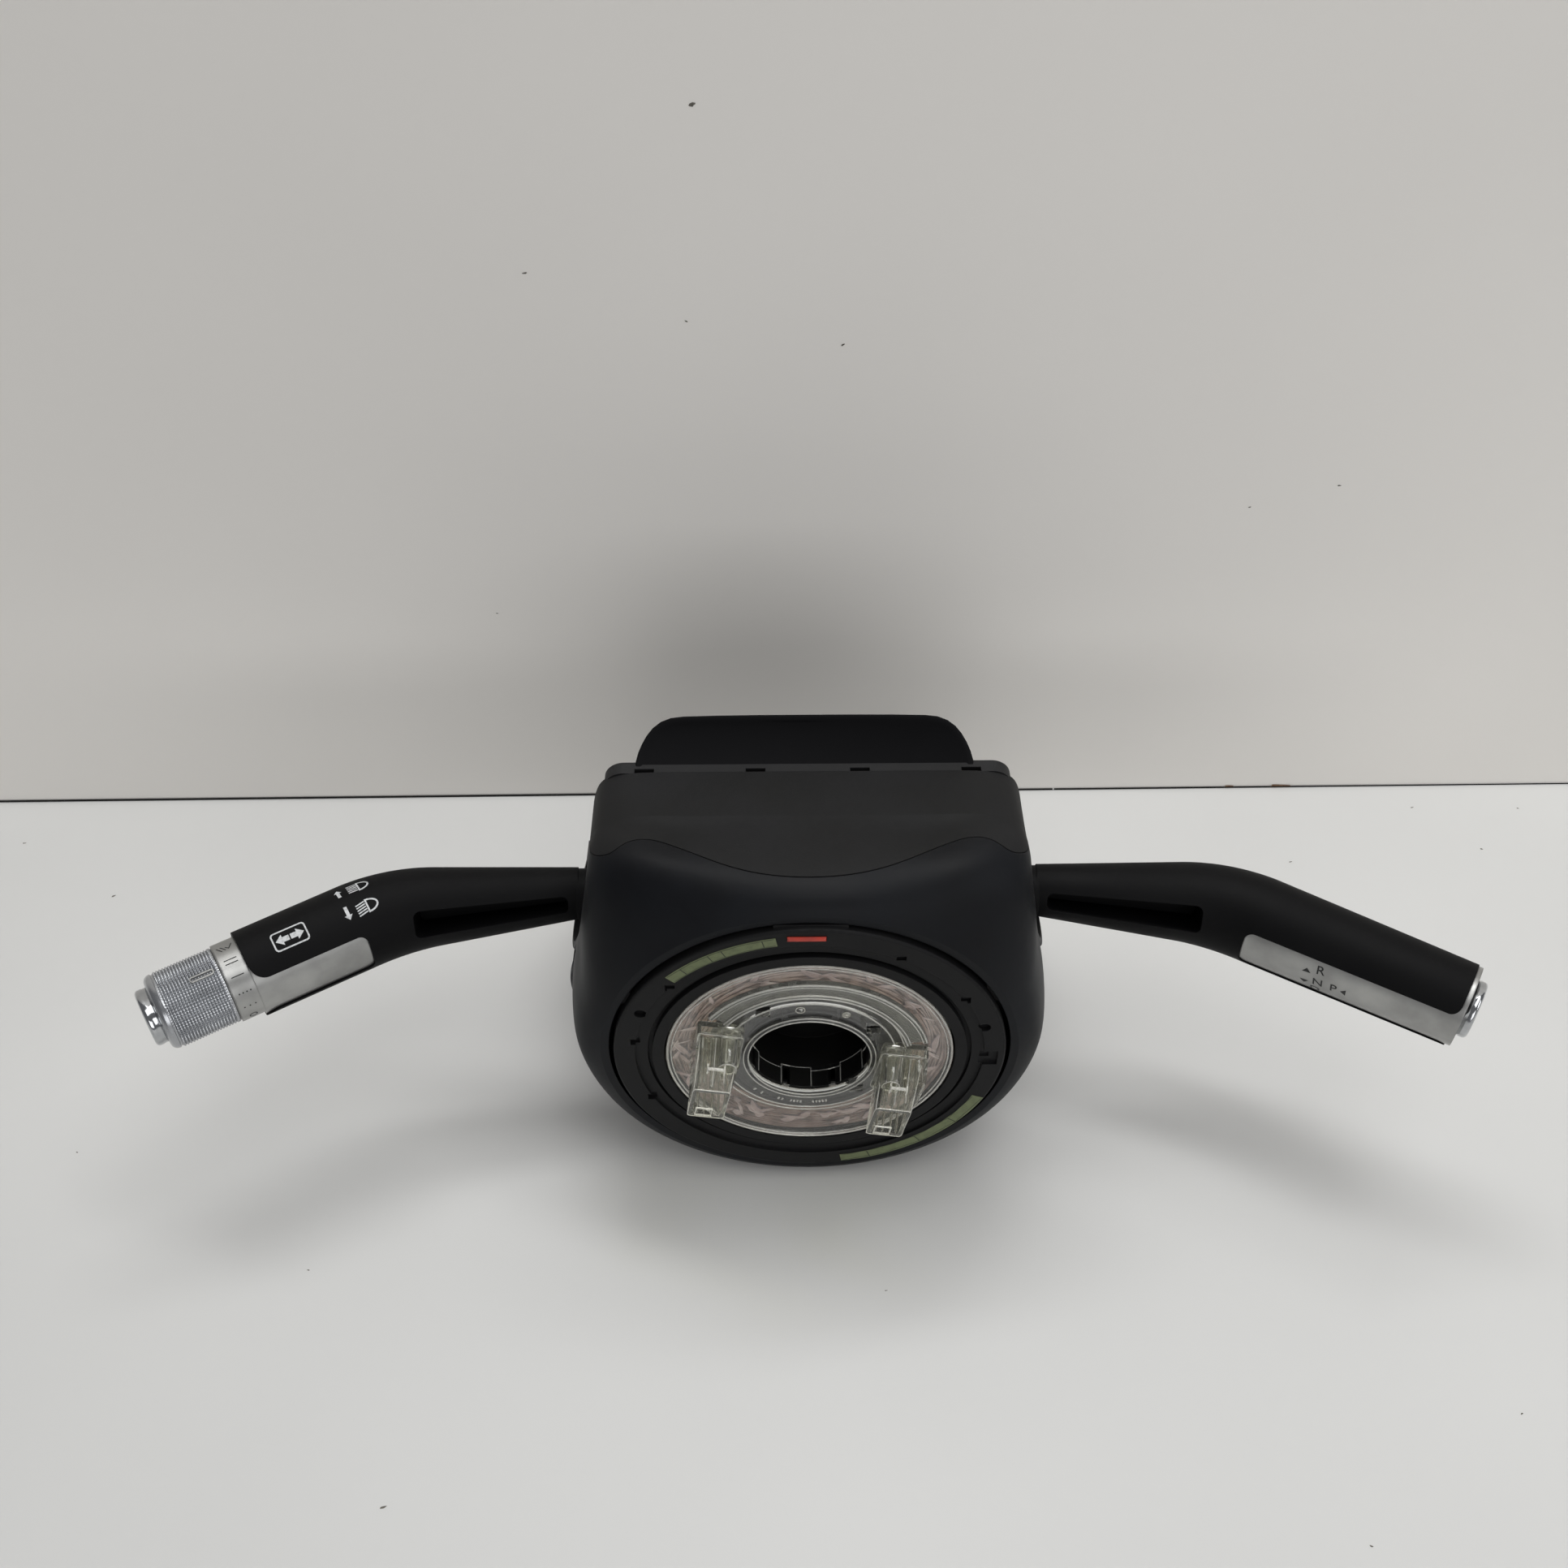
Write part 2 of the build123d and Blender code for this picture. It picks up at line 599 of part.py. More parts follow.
with BuildPart() as module_housing:
    with BuildSketch(face_plane(PLATE_Y[0])):
        Circle(PLATE_R)
        Circle(TUBE_R[0], mode=Mode.SUBTRACT)
        with Locations(*SCREW_AT):
            Circle(1.7, mode=Mode.SUBTRACT)
    extrude(amount=-(PLATE_Y[1] - PLATE_Y[0]))
    with BuildSketch(face_plane(PLATE_Y[1] - 1)):
        with Locations((28.0, PIVOT[2]), (-28.0, PIVOT[2])):
            Rectangle(12, 12)
        Circle(TUBE_R[1])
        Circle(TUBE_R[0], mode=Mode.SUBTRACT)
    extrude(amount=-(PIVOT[1] + 14 - PLATE_Y[1] + 1))
    with BuildSketch(face_plane(PIVOT[1] + 13)):
        Circle(TUBE_R[1])
        Circle(TUBE_R[0], mode=Mode.SUBTRACT)
    extrude(amount=-(TUBE_END - PIVOT[1] - 13))
    with BuildSketch(face_plane(PLATE_Y[0] + 1)):
        with Locations(*measure_centres):
            Circle(2.0)
    extrude(amount=PLATE_Y[0] + 1 - GEAR_Y[0] + 0.2)
    with BuildSketch(face_plane(PLATE_Y[1] - 1)):
        with Locations(*POSTS):
            Circle(2.6)
    extrude(amount=-(BOARD_Y[0] - PLATE_Y[1] + 1))
    # spring cuts that let the clamp close the rear of the tube
    with BuildSketch(Plane.YZ.offset(-40)):
        with Locations((TUBE_END - 8, 0)):
            Rectangle(18, 1.6)
    extrude(amount=80, mode=Mode.SUBTRACT)
finish(module_housing, "module_housing")

with BuildPart() as housing_screws:
    with BuildSketch(face_plane(PLATE_Y[0])):
        with Locations(*SCREW_AT):
            Circle(3.0)
    extrude(amount=2.0)
    with BuildSketch(face_plane(PLATE_Y[0])):
        with Locations(*SCREW_AT):
            Circle(1.5)
    extrude(amount=-7.5)
    with BuildSketch(face_plane(PLATE_Y[0] - 2.0)):
        with Locations(*SCREW_AT):
            RegularPolygon(1.3, 6)
    extrude(amount=-1.2, mode=Mode.SUBTRACT)
finish(housing_screws, "housing_screws")

with BuildPart() as circuit_board:
    with BuildSketch(face_plane(BOARD_Y[0])):
        with Locations((0, sum(BOARD_Z) / 2)):
            Rectangle(2 * BOARD_HALF, BOARD_Z[1] - BOARD_Z[0])
        Circle(TUBE_R[1] + 0.8, mode=Mode.SUBTRACT)
        with Locations(*POSTS):
            Circle(1.2, mode=Mode.SUBTRACT)
    extrude(amount=-(BOARD_Y[1] - BOARD_Y[0]))
finish(circuit_board, "circuit_board")

with BuildPart() as board_chips:
    with BuildSketch(face_plane(BOARD_Y[1])):
        with Locations((-27, -32)):
            Rectangle(9, 9)
        with Locations((28, -26)):
            Rectangle(5, 7)
        with Locations((27, -38)):
            Rectangle(8, 4)
    extrude(amount=-1.6)
finish(board_chips, "board_chips")

with BuildPart() as harness_header:
    with BuildSketch(face_plane(BOARD_Y[1])):
        with Locations((0, -40)):
            Rectangle(30, 14)
    extrude(amount=-16)
    with BuildSketch(face_plane(BOARD_Y[1] + 3)):
        with Locations((0, -40)):
            Rectangle(27, 11)
    extrude(amount=-14, mode=Mode.SUBTRACT)
    with BuildSketch(face_plane(BOARD_Y[1] + 3)):
        with Locations((0, -40)):
            with GridLocations(4.0, 4.0, 6, 2):
                Rectangle(0.9, 0.9)
    extrude(amount=-9)
finish(harness_header, "harness_header")

with BuildPart() as rear_cover:
    centre = (0, sum(BOARD_Z) / 2)
    tall = BOARD_Z[1] - BOARD_Z[0]
    with BuildSketch(face_plane(BOARD_Y[0])):
        with Locations(centre):
            RectangleRounded(2 * BOARD_HALF + 4, tall + 4, 3)
        Circle(TUBE_R[1] + 0.3, mode=Mode.SUBTRACT)
    extrude(amount=-COVER_DEPTH)
    with BuildSketch(face_plane(BOARD_Y[0])):
        with Locations(centre):
            Rectangle(2 * BOARD_HALF + 0.2, tall + 0.2)
    extrude(amount=-(BOARD_Y[1] - BOARD_Y[0]), mode=Mode.SUBTRACT)
    with BuildSketch(face_plane(BOARD_Y[1])):
        with Locations(centre):
            Rectangle(2 * BOARD_HALF - 3, tall - 3)
        Circle(TUBE_R[1] + 2.3, mode=Mode.SUBTRACT)
    extrude(amount=-(COVER_DEPTH - 3.6), mode=Mode.SUBTRACT)
    with BuildSketch(face_plane(BOARD_Y[0])):
        with Locations((0, -40)):
            Rectangle(30.2, 14.2)
    extrude(amount=-30, mode=Mode.SUBTRACT)
finish(rear_cover, "rear_cover")

with BuildPart() as column_clamp:
    with BuildSketch(face_plane(66)):
        Circle(TUBE_R[1] + 2.0)
        with Locations((0, -TUBE_R[1] - 5)):
            Rectangle(9, 10)
        Circle(TUBE_R[1] + 0.04, mode=Mode.SUBTRACT)
        with Locations((0, -TUBE_R[1] - 5)):
            Rectangle(3, 14, mode=Mode.SUBTRACT)
    extrude(amount=-10)
    with BuildSketch(Plane.YZ.offset(-10)):
        with Locations((71, -TUBE_R[1] - 6)):
            Circle(2.1)
    extrude(amount=20, mode=Mode.SUBTRACT)
finish(column_clamp, "column_clamp")

with BuildPart() as clamp_screw:
    with BuildSketch(Plane.YZ.offset(-4.5)):
        with Locations((71, -TUBE_R[1] - 6)):
            Circle(3.8)
    extrude(amount=-3)
    with BuildSketch(Plane.YZ.offset(-4.5)):
        with Locations((71, -TUBE_R[1] - 6)):
            Circle(2.0)
    extrude(amount=14)
    with BuildSketch(Plane.YZ.offset(-7.5)):
        with Locations((71, -TUBE_R[1] - 6)):
            RegularPolygon(2.0, 6)
    extrude(amount=1.8, mode=Mode.SUBTRACT)
    with BuildSketch(Plane.YZ.offset(4.5)):
        with Locations((71, -TUBE_R[1] - 6)):
            RegularPolygon(3.6, 6)
            Circle(2.0, mode=Mode.SUBTRACT)
    extrude(amount=3)
finish(clamp_screw, "clamp_screw")


# ---------------------------------------------------------------- stalk switch cases and pivots
def switch_case(side):
    """Open box that holds the stalk's trunnions, fixed to the side of the housing."""
    with BuildPart() as body:
        with BuildSketch(Plane.YZ.offset(side * CASE_X[0])):
            with Locations((PIVOT[1], PIVOT[2])):
                RectangleRounded(2 * CASE_HALF[0], 2 * CASE_HALF[1], 2)
        extrude(amount=side * (CASE_X[1] - CASE_X[0]))
        with BuildSketch(Plane.YZ.offset(side * (CASE_X[0] + CASE_WALL))):
            with Locations((PIVOT[1], PIVOT[2])):
                Rectangle(2 * (CASE_HALF[0] - CASE_WALL), 2 * (CASE_HALF[1] - CASE_WALL))
        extrude(amount=side * 30, mode=Mode.SUBTRACT)
        with BuildSketch(face_plane(20)):
            with Locations((side * PIVOT[0], PIVOT[2])):
                Circle(TRUNNION_R + RUNNING)
        extrude(amount=-60, mode=Mode.SUBTRACT)
    return body


case_left = switch_case(-1)
finish(case_left, "switch_case_left")
case_right = switch_case(1)
finish(case_right, "selector_case_right")

with BuildPart() as left_gimbal:
    with BuildSketch(Plane.YZ.offset(-(PIVOT[0] - 8.5))):
        with Locations((PIVOT[1], PIVOT[2])):
            Rectangle(23, 19)
    extrude(amount=-14)
    with BuildSketch(Plane.YZ.offset(-(PIVOT[0] - 6.3))):
        with Locations((PIVOT[1], PIVOT[2])):
            Rectangle(18, 13)
    extrude(amount=-14, mode=Mode.SUBTRACT)
    with BuildSketch(face_plane(PIVOT[1] - CASE_HALF[0])):
        with Locations((-PIVOT[0], PIVOT[2])):
            Circle(TRUNNION_R)
    extrude(amount=-(CASE_HALF[0] - 9.5))
    with BuildSketch(face_plane(PIVOT[1] + 9.5)):
        with Locations((-PIVOT[0], PIVOT[2])):
            Circle(TRUNNION_R)
    extrude(amount=-(CASE_HALF[0] - 9.5))
    with BuildSketch(Plane.XY.offset(-10)):
        with Locations((-PIVOT[0], PIVOT[1])):
            Circle(GIMBAL_PIN_R)
    extrude(amount=60, mode=Mode.SUBTRACT)
finish(left_gimbal, "left_gimbal")

with BuildPart() as gimbal_pin:
    with BuildSketch(Plane.XY.offset(PIVOT[2] - 9.5)):
        with Locations((-PIVOT[0], PIVOT[1])):
            Circle(GIMBAL_PIN_R)
    extrude(amount=19)
finish(gimbal_pin, "gimbal_pin")

with BuildPart() as right_pivot_pin:
    with BuildSketch(face_plane(PIVOT[1] - CASE_HALF[0])):
        with Locations((PIVOT[0], PIVOT[2])):
            Circle(TRUNNION_R)
    extrude(amount=-2 * CASE_HALF[0])
finish(right_pivot_pin, "right_pivot_pin")

# ---------------------------------------------------------------- stalk arms


def run_point(along):
    """Plan position on the axis of the outer run, measured from the start of the sleeve."""
    return (RUN_START[0] + along * RUN_U[0], RUN_START[1] + along * RUN_U[1])


def run_plane(along, lift=None):
    """Plane across the outer run, or lifted to face the driver when a lift is given."""
    x, y = run_point(along)
    if lift is None:
        return Plane(origin=(x, y, PIVOT[2]), x_dir=(-RUN_U[1], RUN_U[0], 0), z_dir=(RUN_U[0], RUN_U[1], 0))
    tilt = radians(lift)
    facing = (RUN_U[1] * cos(tilt), -RUN_U[0] * cos(tilt), sin(tilt))
    return Plane(origin=(x, y, PIVOT[2]), x_dir=(RUN_U[0], RUN_U[1], 0), z_dir=facing)


def ellipse_at(x, y, heading, width, shrink):
    """Upright elliptical section of the arm, square to its centre line."""
    a = radians(heading)
    across = Plane(origin=(x, y, PIVOT[2]), x_dir=(-sin(a), cos(a), 0), z_dir=(cos(a), sin(a), 0))
    with BuildSketch(across) as section:
        Ellipse(0.485 * width - shrink, 0.515 * width - shrink)
    return section.sketch


def arm_loft(end, shrink):
    """Bent stalk body: tapered inner run, elbow and outer run, shrunk all round when asked."""
    corner = tan(radians((RUN_ANGLE - INNER_ANGLE) / 2)) * ELBOW_R
    first = (
        ELBOW_AT[0] - corner * cos(radians(INNER_ANGLE)),
        ELBOW_AT[1] + corner * sin(radians(INNER_ANGLE)),
    )
    hub = (first[0] - ELBOW_R * sin(radians(INNER_ANGLE)), first[1] - ELBOW_R * cos(radians(INNER_ANGLE)))
    with BuildPart() as body:
        root_x = 69.0
        root_y = first[1] + (first[0] - root_x) * sin(radians(INNER_ANGLE)) / cos(radians(INNER_ANGLE))
        root = ellipse_at(root_x, root_y, -INNER_ANGLE, 2 * STEM_R, shrink)
        loft([root, ellipse_at(first[0], first[1], -INNER_ANGLE, ELBOW_WIDTH[0], shrink)], ruled=True)
        elbow = []
        for step in range(4):
            t = step / 3
            heading = INNER_ANGLE + t * (RUN_ANGLE - INNER_ANGLE)
            width = ELBOW_WIDTH[0] + (ELBOW_WIDTH[1] - ELBOW_WIDTH[0]) * t * (1.8 - 0.8 * t)
            x = hub[0] + ELBOW_R * sin(radians(heading))
            y = hub[1] + ELBOW_R * cos(radians(heading))
            elbow.append(ellipse_at(x, y, -heading, width, shrink))
        loft(elbow)
        tip_width = TIP_WIDTH[0] if end == LEFT_END else TIP_WIDTH[1]
        tip = ellipse_at(*run_point(end), -RUN_ANGLE, tip_width, shrink)
        loft([elbow[-1], tip], ruled=True)
    return body.part


def trim_space(end, window, band):
    """Space of the bright trim: a long window that runs into a band round the end."""
    start, lift, half, corner = window
    with BuildPart() as body:
        with BuildSketch(run_plane(0, lift)) as plan:
            with Locations(((start + end) / 2 + 2, 0)):
                Rectangle(end - start + 4, 2 * half)
            with Locations((band + 10, 0)):
                Rectangle(20, 60)
            fillet(plan.vertices().group_by(Axis.X)[0], 2.6)
            inner = plan.vertices().filter_by_position(Axis.X, band - 0.1, band + 0.1)
            fillet(inner.filter_by_position(Axis.Y, -half - 0.1, half + 0.1), corner)
        extrude(amount=40)
        split(bisect_by=run_plane(0, lift).offset(TRIM_SEAT), keep=Keep.TOP)
        if end == RIGHT_END:
            with BuildSketch(run_plane(band)):
                Circle(30)
                Circle(BUTTON_DIA / 2 + 1.6, mode=Mode.SUBTRACT)
            extrude(amount=10)
    return body.part


def stalk_arm(end, window, band):
    """Arm with its stem, pivot block, pocket and trim recess, for the right-hand side."""
    with BuildPart() as body:
        add(arm_loft(end, 0))
        with BuildSketch(Plane.YZ.offset(60)):
            with Locations((PIVOT[1], PIVOT[2])):
                Circle(STEM_R)
        extrude(amount=9.4)
        with BuildSketch(Plane.YZ.offset(PIVOT[0] + 4)):
            with Locations((PIVOT[1], PIVOT[2])):
                Circle(5.0)
        extrude(amount=12.5)
        with BuildSketch(Plane.YZ.offset(PIVOT[0] - 5)):
            with Locations((PIVOT[1], PIVOT[2])):
                Rectangle(10, 12)
        extrude(amount=10)
        # long pocket on the driver's side of the inner run
        a = radians(-6.5)
        tilt = radians(21)
        pocket = Plane(origin=(96.5, 47.6, PIVOT[2]), x_dir=(cos(a), sin(a), 0),
                       z_dir=(sin(a) * cos(tilt), -cos(a) * cos(tilt), sin(tilt)))
        with BuildSketch(pocket) as slot:
            with BuildLine():
                Polyline((-24, -2.5), (21, -4.4), (21, 4.6), (-24, 2.9), close=True)
            make_face()
            fillet(slot.vertices(), 1.9)
        extrude(amount=30, mode=Mode.SUBTRACT)
        add(trim_space(end, window, band), mode=Mode.SUBTRACT)
    return body.part


def trim_skin(end, window, band, sunk):
    """Bright trim itself, seated in its recess just below the level of the arm."""
    with BuildPart() as body:
        add(arm_loft(end, sunk))
        add(trim_space(end, window, band), mode=Mode.INTERSECT)
    return body.part


def dome():
    """Round shield on the stem that fills the stalk hole at every angle."""
    with BuildPart() as body:
        with BuildSketch(Plane(origin=(PIVOT[0], PIVOT[1], PIVOT[2]), x_dir=(1, 0, 0), z_dir=(0, 0, 1))):
            Circle(DOME_R)
            Circle(DOME_R - DOME_WALL, mode=Mode.SUBTRACT)
            with Locations((9.0 + 50, 25)):
                Rectangle(100, 50, mode=Mode.INTERSECT)
        revolve(axis=Axis(PIVOT, (1, 0, 0)))
        with BuildSketch(Plane.YZ.offset(PIVOT[0])):
            with Locations((PIVOT[1], PIVOT[2])):
                Circle(STEM_R)
        extrude(amount=40, mode=Mode.SUBTRACT)
    return body.part


def put(part, name, side=1):
    """Write a right-hand part, mirrored when it belongs on the left."""
    with BuildPart() as body:
        add(part if side > 0 else mirror(part, about=Plane.YZ, mode=Mode.PRIVATE))
    finish(body, name)


with BuildPart() as arm_left:
    add(stalk_arm(LEFT_END, LEFT_WINDOW, LEFT_END))
    with BuildSketch(Plane.XY.offset(PIVOT[2] - 30)):
        with Locations((PIVOT[0], PIVOT[1])):
            Circle(GIMBAL_PIN_R + RUNNING)
    extrude(amount=60, mode=Mode.SUBTRACT)
    # spindle that carries the sleeve and the turning knob
    with BuildSketch(run_plane(-0.5)):
        Circle(SPINDLE_R)
    extrude(amount=SPINDLE_END + 0.5)
    with BuildSketch(run_plane(SPINDLE_END)):
        Circle(4.0)
    extrude(amount=-12, mode=Mode.SUBTRACT)
put(arm_left.part, "left_arm", -1)
put(dome(), "left_dome", -1)

with BuildPart() as trim_left:
    add(trim_skin(LEFT_END, LEFT_WINDOW, LEFT_END, LEFT_SUNK))
    with BuildSketch(run_plane(0.0)):
        Circle(SLEEVE_DIA / 2)
        Circle(SPINDLE_R, mode=Mode.SUBTRACT)
    extrude(amount=KNOB_SPAN[0] - 0.4)
put(trim_left.part, "left_trim", -1)

with BuildPart() as knob:
    with BuildSketch(run_plane(KNOB_SPAN[0])):
        Circle(KNOB_DIA / 2)
    extrude(amount=KNOB_SPAN[1] - KNOB_SPAN[0])
    fillet(knob.edges().filter_by(GeomType.CIRCLE).sort_by(Axis.X)[-1], 2.0)
    # raised pointer
    tilt = radians(78)
    facing = (RUN_U[1] * cos(tilt), -RUN_U[0] * cos(tilt), sin(tilt))
    x, y = run_point(KNOB_SPAN[0] + 4.6)
    with BuildSketch(Plane(origin=(x, y, PIVOT[2]), x_dir=(RUN_U[0], RUN_U[1], 0), z_dir=facing)):
        SlotOverall(7.2, 1.9)
    extrude(amount=KNOB_DIA / 2 + 0.3)
    with BuildSketch(run_plane(KNOB_SPAN[0])):
        Circle(SPINDLE_R + RUNNING)
    extrude(amount=SPINDLE_END - KNOB_SPAN[0], mode=Mode.SUBTRACT)
    with BuildSketch(run_plane(SPINDLE_END)):
        Circle(BUTTON_DIA / 2 + 0.3)
    extrude(amount=40, mode=Mode.SUBTRACT)
put(knob.part, "left_knob", -1)


def end_button(first, last, stem_end):
    """Push button with its guide stem, dished to take a bright insert."""
    with BuildPart() as body:
        with BuildSketch(run_plane(first)):
            Circle(BUTTON_DIA / 2)
        extrude(amount=last - first)
        chamfer(body.edges().filter_by(GeomType.CIRCLE).sort_by(Axis.X)[-1], 0.5)
        with BuildSketch(run_plane(last)):
            Circle(6.3)
        extrude(amount=-1.4, mode=Mode.SUBTRACT)
        with BuildSketch(run_plane(first)):
            Circle(3.95)
        extrude(amount=-(first - stem_end))
    return body.part


def button_insert(last):
    """Bright dished insert of a push button."""
    with BuildPart() as body:
        with BuildSketch(run_plane(last - 1.4)):
            Circle(6.25)
        extrude(amount=1.1)
        x, y = run_point(last + 16.8)
        with Locations((x, y, PIVOT[2])):
            Sphere(17.8, mode=Mode.SUBTRACT)
    return body.part


put(end_button(LEFT_BUTTON[0], LEFT_BUTTON[1], 12.0), "left_button", -1)
put(button_insert(LEFT_BUTTON[1]), "left_button_insert", -1)

with BuildPart() as arm_right:
    add(stalk_arm(RIGHT_END, RIGHT_WINDOW, RIGHT_END - 1.3))
    with BuildSketch(face_plane(20)):
        with Locations((PIVOT[0], PIVOT[2])):
            Circle(TRUNNION_R + 0.03)
    extrude(amount=-60, mode=Mode.SUBTRACT)
    with BuildSketch(run_plane(RIGHT_END + 1)):
        Circle(BUTTON_DIA / 2 + 0.3)
    extrude(amount=-5, mode=Mode.SUBTRACT)
    with BuildSketch(run_plane(RIGHT_END)):
        Circle(4.0)
    extrude(amount=-15, mode=Mode.SUBTRACT)
put(arm_right.part, "right_arm")
put(dome(), "right_dome")

with BuildPart() as trim_right:
    add(trim_skin(RIGHT_END, RIGHT_WINDOW, RIGHT_END - 1.3, RIGHT_SUNK))
    with BuildSketch(run_plane(RIGHT_END + 1)):
        Circle(BUTTON_DIA / 2 + 0.3)
    extrude(amount=-5, mode=Mode.SUBTRACT)
put(trim_right.part, "right_trim")
put(end_button(RIGHT_BUTTON[0], RIGHT_BUTTON[1], RIGHT_END - 12), "right_button")
put(button_insert(RIGHT_BUTTON[1]), "right_button_insert")
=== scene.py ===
"""Looks of the steering column switch module.

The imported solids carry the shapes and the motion. This script sets the stage, gives every
solid the finish of its real material and adds the detail that is too fine for a solid:
knurls, printed marks, the wound cable, the clear ribs and the labels. Lengths are in
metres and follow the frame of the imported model: X to the right, Y to the rear and Z up.
Sizes are written in millimetres and turned with MM, and angles in degrees.
"""
from __future__ import annotations

import logging
import math
import random
from dataclasses import dataclass
from enum import Enum, IntEnum
from functools import partial
from typing import Callable, Iterable, Sequence

import bmesh
import bpy
from mathutils import Matrix, Vector
from mathutils.bvhtree import BVHTree

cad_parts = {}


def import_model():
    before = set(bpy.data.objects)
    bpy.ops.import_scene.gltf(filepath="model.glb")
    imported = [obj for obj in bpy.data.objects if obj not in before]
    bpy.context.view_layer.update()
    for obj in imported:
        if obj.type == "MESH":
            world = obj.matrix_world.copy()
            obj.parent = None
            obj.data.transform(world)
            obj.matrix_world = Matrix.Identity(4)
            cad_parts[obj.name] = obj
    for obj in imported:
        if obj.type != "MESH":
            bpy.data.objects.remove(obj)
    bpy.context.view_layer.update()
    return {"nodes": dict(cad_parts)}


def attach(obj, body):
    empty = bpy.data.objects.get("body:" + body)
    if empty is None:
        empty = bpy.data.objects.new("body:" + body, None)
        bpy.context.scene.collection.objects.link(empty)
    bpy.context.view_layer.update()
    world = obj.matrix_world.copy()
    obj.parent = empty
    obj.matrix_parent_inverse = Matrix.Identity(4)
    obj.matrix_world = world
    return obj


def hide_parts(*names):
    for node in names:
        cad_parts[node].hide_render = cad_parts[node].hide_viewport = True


MM = 0.001
LOG = logging.getLogger("column_module")
SHARP_ANGLE = 38.0  # faces that meet at more than this keep a crisp edge
FULL_CIRCLE = 359.9  # an arc longer than this is joined to its start

Point2 = tuple[float, float]
Point3 = tuple[float, float, float]
Outline = list[Point2]
Colour = tuple[float, float, float, float]
Inputs = dict[str | int, object]
Mesh = bmesh.types.BMesh
Corners = list[bmesh.types.BMVert]
Piece = bpy.types.Object
Tree = bpy.types.NodeTree
Socket = bpy.types.NodeSocket
Fill = Callable[[Mesh], None]


class Side(IntEnum):
    """Side of the module as the driver sees it, as a sign along X."""

    LEFT = -1
    RIGHT = 1


class FilmPart(Enum):
    """Part of a buckled loop of film: its two edges in half widths, and its depth."""

    LEAF = (-1.0, 1.0, 2.85)
    # painted highlight along the fold at the leaf's edge
    FOLD_HIGHLIGHT = (0.86, 1.12, 2.7)
    # painted shade beside the leaf, where one loop shades the next
    SHADOW = (-1.5, -1.0, 2.95)


# ------------------------------------------------------------------ nodes and colours
def linear(code: str) -> Colour:
    """Turn an sRGB hex colour into the linear colour that the shaders mix.

    Args:
        code: Colour as #rrggbb.

    Returns:
        Linear red, green, blue and an alpha of one.
    """
    values = []
    for start in (1, 3, 5):
        value = int(code[start:start + 2], 16) / 255
        values.append(value / 12.92 if value <= 0.04045 else ((value + 0.055) / 1.055) ** 2.4)
    return (values[0], values[1], values[2], 1.0)


def add_node(tree: Tree, kind: str, inputs: Inputs | None = None) -> bpy.types.Node:
    """Add one node with its settings and links.

    Args:
        tree: Node tree that gets the node.
        kind: Blender's name of the node type.
        inputs: Values by property name, and values or output sockets by the name or the
            number of the input that they set or feed. "stops" holds the positions and
            the sRGB hex colours of a colour ramp, lowest first.

    Returns:
        The new node.
    """
    node = tree.nodes.new(kind)
    for key, value in (inputs or {}).items():
        if key == "stops":
            band = node.color_ramp.elements
            for element, (position, code) in zip(band, (value[0], value[-1])):
                element.position, element.color = position, linear(code)
            for position, code in value[1:-1]:
                band.new(position).color = linear(code)
        elif isinstance(value, Socket):
            tree.links.new(value, node.inputs[key])
        elif isinstance(key, str) and hasattr(node, key):
            setattr(node, key, value)
        else:
            node.inputs[key].default_value = value
    return node


def per_mm(size: float) -> float:
    """Texture scale that makes one repeat as long as the given size in millimetres."""
    return 1.0 / (size * MM)


